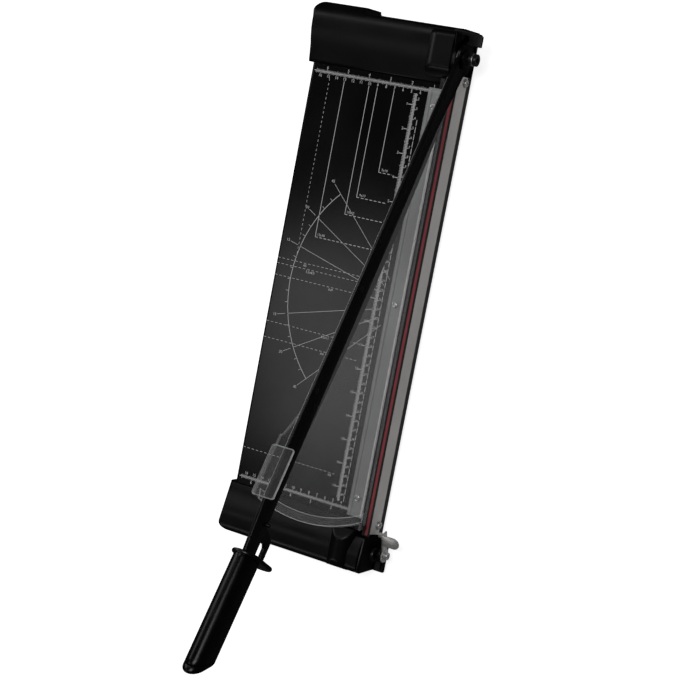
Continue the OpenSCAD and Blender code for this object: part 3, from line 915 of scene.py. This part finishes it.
        self.ticks(range(14, int(reach) + 1), 1.0, metric, (2.1, 2.8, 3.6), (5, 10), self.thick)
        self.ticks(range(9, int(reach / SIXTEENTH)), SIXTEENTH, inches, (1.9, 2.6, 6.0), (8, 16), self.thick)
        for cm in range(2, 45):
            self.figure(str(cm), metric(10.0 * cm - 1.2, 4.6), self.label_size)
        for inch in range(1, 18):
            self.figure(str(inch), inches(INCH * inch, 7.4), self.figure_size)

    def photo_sizes(self) -> None:
        """Prints the small formats as solid sides with dashed ends."""
        for wide, tall in ((7, 10), (9, 13), (10, 15), (13, 18)):
            x, y = -10.0 * wide, -10.0 * tall
            self.stroke((x, -14.5), (x, y), self.thick)
            self.dashes((x, y), (self.side_ruler - 9, y), self.thick)
            self.figure(f"{wide}x{tall}", (x + 6.5, y + 2.8), self.label_size)

    def sheet_sizes(self) -> None:
        """Prints the larger sheets as dashed lines right across."""
        left, right = -self.width + 2, self.side_ruler - 9
        self.dashes((-148, -14), (-148, -210), self.thin, 2.4, 2.6)
        rows = ((210.0, "A5", -136), (215.9, "5.5x8.5", -128), (228.6, "6x9", -100),
                (279.4, "8.5x11", -96), (297.0, "A4", -96), (420.0, "A3", -60))
        for tall, label, place in rows:
            self.dashes((left, -tall), (right, -tall), self.thin, 3.0, 2.4)
            self.figure(label, (place, -tall - 2.6), self.label_size)

    def angles(self) -> None:
        """Prints the angle scale around a point of the cut."""
        cx, cy = self.angle_centre

        def at(angle: float, radius: float) -> Point:
            """Returns a point of the scale, angles counted up from -X."""
            a = math.radians(angle)
            return (cx - radius * math.cos(a), cy + radius * math.sin(a))

        bends = [i - 45.0 for i in range(0, 91, 3)]
        for first, second in zip(bends, bends[1:]):
            self.stroke(at(first, self.angle_radius), at(second, self.angle_radius), self.thick)
        for angle in range(-40, 41, 5):
            self.stroke(at(angle, self.angle_radius), at(angle, self.angle_radius + 3.5), self.thin)
        for angle in (-45, -30, -15, 15, 30, 45):
            self.stroke(at(angle, 34), at(angle, self.angle_reach), self.thin)
            self.figure(str(abs(angle)), at(angle, self.angle_reach + 3.4), self.figure_size)


# --------------------------------------------------------------- end caps


@dataclass
class RearCap:
    """The moulded cap behind the paper stop, with the hinge tower."""

    datum: Datum
    left: float = -178.0
    right: float = -0.6
    end: float = 64.0
    step: float = 58.0
    rise: float = 12.0
    floor: float = -29.5
    soft: float = 3.2

    def build(self) -> None:
        """Builds the cap and its tower as one moulding."""
        cap = Shape("rear_cap_moulding", Body.BASE, Finishes.CAP)
        plan = [*arc((self.left + 10, self.end - 10), 10, 180, 90, 8),
                (-124, self.end), *arc((-112, self.end), 6, 180, 270, 6),
                (self.right, self.step), (self.right, 13), (-9.9, 13), (-9.9, 0), (self.left, 0)]
        cap.mound(plan, self.floor, self.height, self.datum.at, self.soft, 2.5)
        tower = [*arc((-28, 10), 4, 270, 180, 5), *arc((-28, 50), 4, 180, 90, 5),
                 *arc((self.right - 2, 52), 2, 90, 0, 4), *arc((self.right - 2, 8), 2, 0, -90, 4)]
        cap.mound(tower, -6.0, self.tower_height, self.datum.at, 1.6, 2.0)
        lug = rounded([(-10, 51), (7.5, 51), (7.5, 41.5), (22.5, 41.5), (22.5, 52.5), (20, 54.5),
                       (-10, 57)], 1.0)
        cap.slab(lug, 8.0, 11.0, self.datum.at, 0.6)
        cap.finished("rear_cap", sharp=50)

    def height(self, x: float, y: float) -> float:
        """Returns the height of the cap, which swells away from the table."""
        t = min(max(y / 44.0, 0.0), 1.0)
        swell = 0.6 + (self.rise - 0.6) * math.sin(t * math.pi / 2) ** 1.2
        fall = max(y - 46.0, 0.0)
        return swell - 0.028 * fall ** 2

    def tower_height(self, x: float, y: float) -> float:
        """Returns the height of the tower, lower at its left and its front."""
        left = 24.0 - 6.0 * max((-22.0 - x) / 10.0, 0.0) ** 2
        front = 12.0 + 12.0 * math.sin(min(max((y - 6.0) / 12.0, 0.0), 1.0) * math.pi / 2)
        return min(left, front) - 0.12 * max(y - 48.0, 0.0) ** 2


@dataclass
class FrontCap:
    """The moulded cap at the operator's end, with the guard barrel and the latch lug."""

    datum: Datum
    left: float = -178.0
    right: float = -0.6
    end: float = -514.0
    board: float = -460.0
    rise: float = 12.0
    floor: float = -29.5
    soft: float = 3.0
    lug: float = 7.4
    latch_pivot: Point = (-493.0, -19.5)

    def build(self) -> None:
        """Builds the cap, the barrel, the ledge and the lug as one moulding."""
        cap = Shape("front_cap_moulding", Body.BASE, Finishes.CAP)
        plan = [(self.left, self.board - 1), *arc((self.left + 10, self.end + 10), 10, 180, 270, 8),
                *arc((self.right - 2, self.end + 2), 2, 270, 360, 4),
                (self.right, -474.4), (-13.4, -474.4), (-13.4, self.board), (self.left, self.board)]
        cap.mound(plan, self.floor, self.height, self.datum.at, self.soft, 2.5)
        barrel = [*arc((-39, self.end + 3), 2, 180, 270, 4), *arc((-15, self.end + 3), 2, 270, 360, 4),
                  (-13, -468.6), (-41, -468.6)]
        cap.mound(barrel, -8.0, self.barrel_height, self.datum.at, 1.2, 1.6)
        ledge = box_outline(-3, self.end, 11, -477, 2)
        cap.slab(ledge, self.floor, self.floor + 3, self.datum.at, 0.6)
        py, pz = self.latch_pivot
        lug = [(py - 9, self.floor), *arc((py, pz), 9, 180, 0, 24), (py + 9, self.floor)]
        cap.slab(lug, self.lug, self.lug + 3.6, self.datum.side, 0.7)
        cap.finished("front_cap", sharp=50)

    def height(self, x: float, y: float) -> float:
        """Returns the height of the cap, which climbs away from the table."""
        t = min(max((self.board - y) / 36.0, 0.0), 1.0)
        climb = 0.6 + (self.rise - 0.6) * (1 - math.cos(t * math.pi)) / 2
        fall = max(self.end + 8.0 - y, 0.0)
        return climb - 0.1 * fall ** 2

    def barrel_height(self, x: float, y: float) -> float:
        """Returns the height of the barrel, round across and sloped at its ends."""
        across = 3.0 + math.sqrt(max(14.0 ** 2 - (x + 27.0) ** 2, 1.0))
        front = 8.0 + 9.0 * math.sin(min(max((y - self.end) / 12.0, 0.0), 1.0) * math.pi / 2)
        rear = 8.0 + 9.0 * min(max((-468.5 - y) / 12.0, 0.0), 1.0)
        return min(across, front, rear)


@dataclass
class CapScrews:
    """The screws below the caps."""

    def build(self) -> None:
        """Dresses the screws."""
        dress(Finishes.ZINC, "cap_screws")


# --------------------------------------------------------------- cut edge


@dataclass
class CutEdge:
    """The rail with the fixed blade, its bolts and the films along the cut."""

    datum: Datum
    front: float = -474.0
    rear: float = 11.5
    top: float = -0.4
    depth: float = 21.0
    thickness: float = 3.0
    bolt_height: float = -16.0
    bolt_rows: tuple[float, float] = (5.5, -463.0)
    head: float = 3.75

    def build(self) -> None:
        """Builds the blade and its fasteners and dresses the rest."""
        dress(Finishes.RAIL, "blade_rail")
        dress(Finishes.EDGE, "edge_strip")
        dress(Finishes.RED, "cut_line")
        self.blade()
        self.fasteners()

    def blade(self) -> None:
        """Builds the fixed blade with its small bevels and oblique front end."""
        blade = Shape("fixed_blade_bar", Body.BASE, Finishes.BLADE)
        low = self.top - self.depth
        outline = [(self.front, low), (self.rear, low), (self.rear, self.top), (self.front + 3, self.top)]
        blade.slab(outline, -self.thickness, 0.0, self.datum.side, 0.35)
        blade.finished("fixed_blade")

    def fasteners(self) -> None:
        """Builds the bolts with hexagon sockets and their washers."""
        seats = [self.datum.at(0, row, self.bolt_height) for row in self.bolt_rows]
        turned_piece("fixed_blade_bolts", "blade_bolts", Body.BASE, Finishes.BRIGHT,
                     socket_head(self.head, 0.8, 1.8, 2.0), *seats)
        turned_piece("fixed_blade_washers", "blade_washers", Body.BASE, Finishes.WASHER,
                     disc(self.head + 0.7, 0.02, 0.78, 0.15), *seats)


def socket_head(radius: float, start: float, height: float, socket: float) -> Profile:
    """Gives the profile of a round bolt head with a hexagon socket.

    Args:
        radius: Radius of the head.
        start: Height of its seat.
        height: Thickness of the head.
        socket: Radius of the socket across its corners.

    Returns:
        The profile for a turned part.
    """
    top = start + height
    return [(radius * 0.6, start, 0), (radius - 0.2, start, 0), (radius, start + 0.2, 0),
            (radius, top - 0.45, 0), (radius - 0.15, top - 0.15, 0), (radius - 0.5, top, 0),
            (socket + 0.25, top, 6), (socket, top - 0.25, 6), (socket, top - height * 0.6, 6),
            (socket * 0.5, top - height * 0.7, 6)]


def disc(radius: float, start: float, thickness: float, soft: float) -> Profile:
    """Gives the profile of a plain disc with eased edges.

    Args:
        radius: Radius of the disc.
        start: Height of its seat.
        thickness: Thickness of the disc.
        soft: Size of its eased edges.

    Returns:
        The profile for a turned part.
    """
    top = start + thickness
    return [(radius * 0.4, start, 0), (radius - soft, start, 0), (radius, start + soft, 0),
            (radius, top - soft, 0), (radius - soft * 0.3, top - soft * 0.3, 0),
            (radius - soft, top, 0), (radius * 0.4, top, 0)]


# ------------------------------------------------------------------ hinge


@dataclass
class Hinge:
    """The hinge block, the pivot and the collar on its outer end."""

    datum: Datum
    hub: float = 10.0
    hub_length: float = 4.0
    head: float = 6.25
    face: float = -0.6
    shank: float = 3.95
    shank_start: float = -14.0
    shank_length: float = 28.9

    def build(self) -> None:
        """Builds the collar, the pivot bolt and the washers."""
        dress(Finishes.HINGE, "hinge_block")
        dress(Finishes.DARK, "block_screws")
        dress(Finishes.BLACK, "pivot_spring")
        dress(Finishes.BRONZE, "pivot_bush")
        py, pz = self.datum.pivot
        turned_piece("pivot_collar", "pivot_hub", Body.BASE, Finishes.DARK,
                     disc(self.head, 0.02, self.hub_length - 0.04, 0.4), self.datum.at(self.hub, py, pz))
        bolt = Shape("pivot_bolt_head", Body.BASE, Finishes.DARK)
        seat = self.datum.at(self.hub + self.hub_length, py, pz)
        bolt.turned(seat, OUTWARDS, socket_head(self.head, 1.02, 3.45, 3.0))
        bolt.turned(self.datum.at(self.shank_start, py, pz), OUTWARDS,
                    disc(self.shank, 0.0, self.shank_length, 0.3))
        bolt.finished("pivot_bolt")
        washers = Shape("pivot_washer_set", Body.BASE, Finishes.WASHER)
        washers.turned(seat, OUTWARDS, disc(6.6, 0.02, 0.96, 0.2))
        washers.turned(self.datum.at(self.face, py, pz), OUTWARDS, disc(11.0, 0.02, 3.55, 0.3))
        washers.finished("pivot_washers")


# -------------------------------------------------------------- knife arm


@dataclass
class KnifeArm:
    """The swinging arm with the moving blade, the hand shield and the grip."""

    datum: Datum
    reach: float = 545.0
    blade_side: float = 3.1
    outside: float = 6.3
    top: float = 16.0
    head: float = 17.0
    bore: float = 6.05
    neck: float = 11.0
    soft: float = 0.45
    belly: float = 22.5
    curve: float = 2250.0
    rivets: tuple[float, ...] = (50.0, 160.0, 270.0, 380.0, 470.0)
    stud: Point = (513.0, -5.0)

    def build(self) -> None:
        """Builds every piece of the arm."""
        self.bar()
        self.blade()
        self.rivet_heads()
        self.stud_and_pins()

    def bar(self) -> None:
        """Builds the bar with its round head, web and lower rail."""
        bar = Shape("arm_bar_plate", Body.ARM, Finishes.ARM)
        r = self.reach
        tail = rounded([(497, self.top), (r, self.top - 4), (r, 4), (r + 66, 4), (r + 66, -9.5),
                        (529, -9.3), (529, -17.5), (532, -20.3), (r, -20.3), (r, -28), (523, -28),
                        (519.5, -24), (514.5, -9), (60, -3)], 1.2)
        bar.slab([*tail, *arc((0, 0), self.neck, -60, 60, 16), (7, 15.2)], self.blade_side, self.outside,
                 self.datum.arm, self.soft)
        thick, r, soft = self.outside - self.blade_side, self.head, self.soft
        bar.turned(self.datum.arm(0, 0, self.blade_side), OUTWARDS, [
            (self.bore, 0.0, 0), (r - soft, 0.0, 0), (r, soft, 0), (r, thick - soft, 0),
            (r - soft, thick, 0), (self.bore, thick, 0)], 72, hollow=True)
        bar.finished("arm_bar")

    def edge(self, u: float, lift: float = 0.0) -> float:
        """Returns the height of the curved cutting edge at a distance u."""
        return self.curve - self.belly - math.sqrt(self.curve ** 2 - (u - 250.0) ** 2) + lift

    def blade(self) -> None:
        """Builds the moving blade with a ground bevel along its edge."""
        spots = [32 + 465 * i / 60 for i in range(61)]
        blade = Shape("moving_blade_bar", Body.ARM, Finishes.KNIFE)
        outline = [(u, self.edge(u, 2.4)) for u in spots] + [(497, 11), (30, 11)]
        blade.slab(outline, 0.1, self.blade_side - 0.02, self.datum.arm, 0.2)
        blade.finished("moving_blade")
        ground = Shape("moving_blade_edge", Body.ARM, Finishes.GROUND)
        rings = []
        for u in spots:
            low, high = self.edge(u), self.edge(u, 2.45)
            rings.append(ground.ring([self.datum.arm(u, low, 0.12), self.datum.arm(u, low, 0.5),
                                      self.datum.arm(u, high, 3.05), self.datum.arm(u, high, 0.12)]))
        ground.stack(rings)
        ground.finished(sharp=20)

    def rivet_heads(self) -> None:
        """Builds the domed rivets that hold the blade to the bar."""
        dome = [(3.4 * math.cos(a), 0.02 + 0.88 * math.sin(a), 0)
                for a in [math.pi / 2 * i / 6 for i in range(6)]]
        turned_piece("blade_rivets", "arm_rivets", Body.ARM, Finishes.BLACK,
                     [(2.0, 0.0, 0), *dome, (0.3, 0.9, 0)],
                     *(self.datum.arm(u, 8, self.outside) for u in self.rivets))

    def stud_and_pins(self) -> None:
        """Builds the catch stud and dresses the pins inside the grip."""
        dress(Finishes.DARK, "handle_pins")
        turned_piece("arm_catch_stud", "catch_stud", Body.ARM, Finishes.BLACK,
                     disc(1.98, 0.0, 4.25, 0.3), self.datum.arm(*self.stud, self.outside))


@dataclass
class Handle:
    """The hand shield and the grip with its end piece."""

    datum: Datum
    length: float = 120.9
    seam: float = 110.0
    radius: float = 11.0
    stretch: float = 4.0
    lower_end: float = 24.2
    slant_start: float = 70.0
    corner: float = 6.8
    shield_radius: float = 14.5
    shield_spread: float = 13.0
    shield_sheet: float = 4.0
    shield_middle: float = -10.0

    def build(self) -> None:
        """Builds the shield, the grip and its end."""
        self.shield()
        self.loft("handle_grip_body", "handle_grip", Finishes.GRIP, -1.9, self.seam)
        self.loft("handle_grip_end", "handle_end", Finishes.GRIP, self.seam + 0.5, self.length)

    def shield(self) -> None:
        """Builds the oval hand shield with a thick rounded rim."""
        shield = Shape("hand_shield_oval", Body.ARM, Finishes.SHIELD)
        spread, r = self.shield_spread, self.shield_radius
        outline = arc((0, spread), r, 0, 180, 28) + arc((0, -spread), r, 180, 360, 28)
        reach = self.datum.grip_start - self.shield_sheet

        def place(x: float, w: float, u: float) -> Vector:
            """Returns the place of a point of the shield."""
            return self.datum.arm(reach + u, w + self.shield_middle, self.datum.arm_centre + x)

        shield.slab(outline, 0.0, self.shield_sheet, place, 1.6, steps=6)
        shield.finished("hand_shield", sharp=60)

    def loft(self, name: str, node: str, finish: Finish, start: float, end: float) -> None:
        """Builds one stretch of the grip.

        Args:
            name: Name of the piece.
            node: Frame node that the piece stands for.
            finish: Its finish.
            start: Where it starts along the grip.
            end: Where it ends.
        """
        piece = Shape(name, Body.ARM, finish)
        last = end >= self.length
        ease = self.corner if last else 0.6
        levels = [(start, 0.5), (start + 0.2, 0.16), (start + 0.6, 0.0)]
        count = max(int((end - start - ease) / 5), 1)
        levels += [(start + 0.6 + (end - ease - start - 0.6) * (i + 1) / count, 0.0) for i in range(count)]
        steps = 10 if last else 2
        bends = [math.pi / 2 * (i + 1) / steps for i in range(steps)]
        levels += [(end - ease + ease * math.sin(a), ease * (1 - math.cos(a))) for a in bends]
        piece.stack([piece.ring(self.grip_ring(s, cut)) for s, cut in levels])
        piece.finished(node, sharp=60)

    def grip_ring(self, s: float, cut: float) -> list[Vector]:
        """Gives the points around the grip at a place.

        Args:
            s: Distance along the grip, on its upper side.
            cut: How much smaller the ring is than the grip.

        Returns:
            The points.
        """
        radius, high = self.radius - cut, self.radius + self.stretch
        slant = self.lower_end * max((s - self.slant_start) / (self.length - self.slant_start), 0.0)
        section = [*arc((0, self.stretch), radius, 0, 180, 28),
                   *arc((0, -self.stretch), radius, 180, 360, 28)]
        return [self.datum.grip(s - slant * (high - h) / (2 * high), h, x) for x, h in section]


# ------------------------------------------------------------------ guard


@dataclass
class Guard:
    """The clear guard beside the cut, folded over the arm at its front."""

    datum: Datum
    inside: float = -8.5
    sheet: float = 3.0
    radius: float = 513.0
    centre: Point = (53.0, 7.0)
    gap: float = 3.5
    fold: float = 16.6
    fold_start: float = 443.0
    fold_end: float = 494.0
    fold_width: float = 24.0
    rim_width: float = 9.0

    def build(self) -> None:
        """Builds the plate, its rim, the fold and the feet."""
        self.plate()
        self.rim()
        self.hood()
        self.feet()

    def front(self, height: float, radius: float) -> Point:
        """Returns the point of the front arc at a height."""
        rise = height - self.centre[1]
        return (self.centre[0] - math.sqrt(radius ** 2 - rise ** 2), height)

    def under_fold(self, u: float) -> Point:
        """Returns the point under the fold at a distance u along the arm."""
        spot = (self.datum.arm(u, self.fold, 0) - self.datum.origin) / MM
        return (spot.y, spot.z)

    def plate(self) -> None:
        """Builds the upright plate; its cut edges carry a painted highlight."""
        plate = Shape("guard_plate_sheet", Body.BASE, Finishes.CLEAR, Finishes.CLEAR_CUT_HIGHLIGHT)
        first, last = self.under_fold(self.fold_start), self.under_fold(self.fold_end)
        angles = [i / 40 for i in range(41)]
        front = [self.front(self.gap + 9 + (last[1] - self.gap - 9) * t, self.radius) for t in angles]
        slope = rounded([first, (-326, 178), (-300, 153), (-200, 103), (-6, 13), (5, 13), (5, self.gap)], 14)
        tab = [(-455, self.gap), (-467, self.gap), (-467, self.gap + 9)]
        outline = [*slope[2:], *tab, *front[:-1], last]
        plate.slab(outline, self.inside, self.inside + self.sheet, self.datum.side, 0.5, rim=1)
        plate.finished("guard_plate")

    def rim(self) -> None:
        """Builds the thicker rim along the guard's front, with a painted highlight on its edges."""
        rim = Shape("guard_rim_bead", Body.BASE, Finishes.CLEAR, Finishes.CLEAR_HIGHLIGHT_EDGE)
        heights = [self.gap + 2 + (228.0 - self.gap - 2) * i / 40 for i in range(41)]
        outer = [self.front(h, self.radius) for h in heights]
        inner = [self.front(h, self.radius - self.rim_width) for h in heights]
        rim.slab([*outer, *reversed(inner)], self.inside - 1.5, self.inside, self.datum.side, 0.5, rim=1)
        rim.finished("guard_rim")

    def hood(self) -> None:
        """Builds the fold that covers the arm, with round corners and a painted highlight on its edges."""
        hood = Shape("guard_fold", Body.BASE, Finishes.CLEAR, Finishes.CLEAR_HIGHLIGHT_EDGE)
        low, high = self.inside, self.inside + self.fold_width - 0.1

        def place(u: float, x: float, w: float) -> Vector:
            """Returns the place of a point of the fold."""
            return self.datum.arm(u, w, x)

        outline = box_outline(self.fold_start, low, self.fold_end, high, 3.0)
        hood.slab(outline, self.fold, self.fold + self.sheet, place, 0.6, rim=1)
        hood.finished("guard_hood")

    def feet(self) -> None:
        """Builds the guard's feet and dresses their screws."""
        dress(Finishes.DARK, "guard_screws")
        feet = Shape("guard_feet", Body.BASE, Finishes.GUARD_BLACK)
        feet.slab([(-13.2, 0.2), (-5.6, 0.2), (-5.6, 3.25), (-8.6, 3.25), (-8.6, 11.2), (-13.2, 11.2)],
                  -467.4, -460.6, self.datum.across, 0.5)
        feet.slab(box_outline(-13.2, 3.6, -8.6, 13.6, 0.8), -4, 5.9, self.datum.across, 0.5)
        feet.finished("guard_brackets")


# ------------------------------------------------------------------ clamp


@dataclass
class Clamp:
    """The spring-loaded strip that holds the paper beside the cut."""

    datum: Datum
    right: float = -11.0
    width: float = 17.0
    gap: float = 3.0
    front: float = -456.0
    rear: float = -5.0
    rows: tuple[float, ...] = (-24.0, -230.0, -436.0)

    def build(self) -> None:
        """Builds the strip and its pins and dresses the springs."""
        dress(Finishes.BRIGHT, "clamp_springs")
        left, low = self.right - self.width, self.gap
        strip = Shape("clamp_strip_bar", Body.CLAMP, Finishes.CLAMP, Finishes.CLAMP_HIGHLIGHT_EDGE)
        outline = [(left, low), (self.right, low), (self.right, low + 3),
                   (self.right - 1.4, low + 3), (left + 5, low + 3),
                   (left + 4, low + 4.2), (left + 1, low + 4.2), (left, low + 3.2)]
        strip.slab(outline, self.front, self.rear, self.datum.across, 0.4)
        # The outer side face takes the second finish, a painted highlight along the strip's edge.
        for face in strip.mesh.faces:
            spot = (face.calc_center_median() - self.datum.origin) / MM
            if spot.x > self.right - 1.3:
                face.material_index = 1
        strip.finished("clamp_strip")
        pins = Shape("clamp_guide_pins", Body.CLAMP, Finishes.BRIGHT)
        middle = self.right - self.width / 2
        for row in self.rows:
            foot = self.datum.at(middle, row, -16)
            pins.turned(foot, Vector((0, 0, 1)), [
                (1.4, 0, 0), (1.88, 0.5, 0), (1.88, 13.1, 0), (4.2, 13.1, 0), (4.2, 14.4, 0),
                (1.88, 14.4, 0), (1.88, 22.0, 0), (3.2, 22.0, 0), (3.2, 22.9, 0), (2.9, 23.15, 0),
                (1.6, 23.15, 6), (1.4, 22.6, 6)])
        pins.finished("clamp_pins")


# ------------------------------------------------------------------ latch


@dataclass
class Latch:
    """The steel lever that holds the closed arm down."""

    datum: Datum
    pivot: Point = (-493.0, -19.5)
    angle: float = math.radians(22.0)
    plate: float = 11.3
    sheet: float = 1.5
    length: float = 27.0
    width: float = 13.0
    lug: float = 7.4
    nut: tuple[float, float, float] = (-0.6, -495.5, -18.5)

    def place(self, a: float, b: float, x: float) -> Vector:
        """Returns the place of a point on the lever: a along it, b square to it."""
        c, s = math.cos(self.angle), math.sin(self.angle)
        return self.datum.at(x, self.pivot[0] + a * c - b * s, self.pivot[1] + a * s + b * c)

    def build(self) -> None:
        """Builds the lever, its post, washer and screw."""
        self.lever()
        self.fixings()

    def lever(self) -> None:
        """Builds the lever with its finger tab and lip."""
        lever = Shape("latch_lever_plate", Body.LATCH, Finishes.LATCH)
        tail = self.length + 1
        outline = [*arc((0, 0), 7.6, 39, 321, 36), *rounded(
            [(7, -4.8), (tail, -4.8), (tail, 4.8), (7, 4.8)], 0.8)]
        lever.slab(outline, self.plate, self.plate + self.sheet, self.place, 0.3)
        half = self.width / 2
        start = self.length - 12.5
        tab = [(self.plate + 0.1, start),
               *arc((self.plate + self.sheet + 12.5, start + half), half, -90, 90, 16),
               (self.plate + 0.1, start + self.width)]

        def flat(x: float, a: float, b: float) -> Vector:
            """Returns the place of a point of the tab."""
            return self.place(a, b, x)

        lever.slab(tab, 3.3, 3.3 + self.sheet, flat, 0.35)
        lip = box_outline(self.lug - 0.3, self.length - 3, self.plate + 0.3, self.length + 1, 0.4)
        lever.slab(lip, 0.8, 4.8, flat, 0.4)
        lever.finished("latch_lever")

    def fixings(self) -> None:
        """Builds the post, the washer and the socket screw."""
        py, pz = self.pivot
        post, out = self.datum.at(self.lug + 3.6, py, pz), self.datum.at(self.plate + self.sheet, py, pz)
        turned_piece("latch_hexagon_post", "latch_post", Body.BASE, Finishes.DARK,
                     [(2.0, 0.0, 0), (6.4, 0.0, 6), (6.4, 0.22, 6), (2.0, 0.24, 0)], post)
        turned_piece("latch_washer_disc", "latch_washers", Body.BASE, Finishes.BRIGHT,
                     disc(5.6, 0.06, 0.98, 0.2), out)
        turned_piece("latch_socket_screw", "latch_screw", Body.BASE, Finishes.BRIGHT,
                     socket_head(4.0, 1.06, 2.98, 2.0), out)
        turned_piece("front_side_nut", "side_nut", Body.BASE, Finishes.DARK,
                     socket_head(7.5, 0.02, 3.1, 3.4), self.datum.at(*self.nut))
        dress(Finishes.RUBBER, "arm_stop")


# ----------------------------------------------------------------- studio


@dataclass(frozen=True)
class SoftBox:
    """A soft rectangular light.

    Attributes:
        name: Name of the light.
        azimuth: Direction it hangs in, from +X towards +Y, in degrees.
        elevation: Angle above the table in degrees.
        distance: Distance from the middle of the machine in metres.
        width: Its size across in metres.
        height: Its size upwards in metres.
        radiance: Brightness of its face.
    """

    name: str
    azimuth: float
    elevation: float
    distance: float
    width: float
    height: float
    radiance: float

    def hang(self, target: Vector) -> None:
        """Hangs the light so that it faces a point.

        Args:
            target: The point, in metres.
        """
        lamp = bpy.data.lights.new(self.name, "AREA")
        lamp.shape = "RECTANGLE"
        lamp.size, lamp.size_y = self.width, self.height
        lamp.energy = self.radiance * math.pi * self.width * self.height
        holder = bpy.data.objects.new(self.name, lamp)
        bpy.context.scene.collection.objects.link(holder)
        away = direction(self.azimuth, self.elevation)
        holder.location = target + away * self.distance
        holder.rotation_euler = away.to_track_quat("Z", "Y").to_euler()


def direction(azimuth: float, elevation: float) -> Vector:
    """Gives a unit vector.

    Args:
        azimuth: Angle from +X towards +Y in degrees.
        elevation: Angle above the table in degrees.

    Returns:
        The vector.
    """
    a, e = math.radians(azimuth), math.radians(elevation)
    return Vector((math.cos(e) * math.cos(a), math.cos(e) * math.sin(a), math.sin(e)))


@dataclass
class Studio:
    """The pale floor, the soft lights and the camera."""

    datum: Datum
    lens: float = 92.0
    azimuth: float = 15.23
    elevation: float = 61.04
    roll: float = 92.62
    distance: float = 1.816
    floor_reach: float = 40.0
    floor_glow: float = 0.85
    air_level: float = 0.02
    aim: tuple[float, float, float] = (-81.1, -278.3, 0.0)
    lights: tuple[SoftBox, ...] = (
        SoftBox("table_sheen", 198, 57, 1.3, 0.38, 0.30, 1.35),
        SoftBox("rear_sheen", 238, 28, 1.6, 0.5, 0.4, 2.2),
        SoftBox("front_sheen", 128, 41, 1.6, 0.5, 0.4, 2.2),
        SoftBox("key", 60, 72, 2.2, 0.9, 0.9, 6.0),
        SoftBox("rim_left", 160, 22, 1.8, 0.5, 1.2, 2.0),
    )

    def build(self) -> None:
        """Sets up the studio."""
        self.floor()
        self.air()
        middle = (CAD_BOX[0] + CAD_BOX[1]) / 2
        for light in self.lights:
            light.hang(middle)
        self.camera()

    def floor(self) -> None:
        """Lays the floor under the machine's feet."""
        low = min(corner.z for corner in CAD_BOX)
        graph = Graph("studio_floor")
        shade = graph.spread(graph.noise(400.0), 0.0, 1.0)
        graph.join(graph.blend(shade, grey(0.9), grey(0.93)), graph.shader.inputs["Base Color"])
        graph.shader.inputs["Roughness"].default_value = 0.9
        graph.shader.inputs["Specular IOR Level"].default_value = 0.1
        graph.shader.inputs["Emission Color"].default_value = (1, 1, 1, 1)
        graph.shader.inputs["Emission Strength"].default_value = self.floor_glow
        mesh = bmesh.new()
        reach = self.floor_reach
        corners = ((-reach, -reach), (reach, -reach), (reach, reach), (-reach, reach))
        mesh.faces.new([mesh.verts.new((x, y, low - 0.0002)) for x, y in corners])
        data = bpy.data.meshes.new("studio_floor")
        mesh.to_mesh(data)
        mesh.free()
        data.materials.append(graph.material)
        floor = bpy.data.objects.new("studio_floor", data)
        bpy.context.scene.collection.objects.link(floor)
        floor.visible_glossy = False

    def air(self) -> None:
        """Fills the room with a faint even light."""
        world = bpy.data.worlds.new("studio_air")
        world.use_nodes = True
        world.node_tree.nodes["Background"].inputs["Color"].default_value = (1, 1, 1, 1)
        world.node_tree.nodes["Background"].inputs["Strength"].default_value = self.air_level
        bpy.context.scene.world = world
        bpy.context.scene.view_settings.view_transform = "Standard"

    def camera(self) -> None:
        """Sets the camera high on the right of the machine."""
        back = direction(self.azimuth, self.elevation)
        first = Vector((0, 0, 1)).cross(back).normalized()
        second = back.cross(first)
        roll = math.radians(self.roll)
        up = second * math.cos(roll) + first * math.sin(roll)
        right = up.cross(back)
        lens = bpy.data.cameras.new("camera")
        lens.lens, lens.sensor_width, lens.clip_end = self.lens, 36.0, 20.0
        camera = bpy.data.objects.new("camera", lens)
        turn = Matrix((right, up, back)).transposed().to_4x4()
        camera.matrix_world = Matrix.Translation(self.datum.at(*self.aim) + back * self.distance) @ turn
        bpy.context.scene.collection.objects.link(camera)
        bpy.context.scene.camera = camera


# ------------------------------------------------------------------- main


def main() -> None:
    """Builds every sub-assembly in order."""
    logging.basicConfig(level=logging.INFO, format="%(name)s %(message)s")
    datum = read_datum()
    Studio(datum).build()
    for assembly in (Table(), TablePrint(datum), RearCap(datum), FrontCap(datum), CapScrews(),
                     CutEdge(datum), Hinge(datum), KnifeArm(datum), Handle(datum), Guard(datum),
                     Clamp(datum), Latch(datum)):
        LOG.info("building %s", type(assembly).__name__)
        assembly.build()


if __name__ == "__main__":
    main()
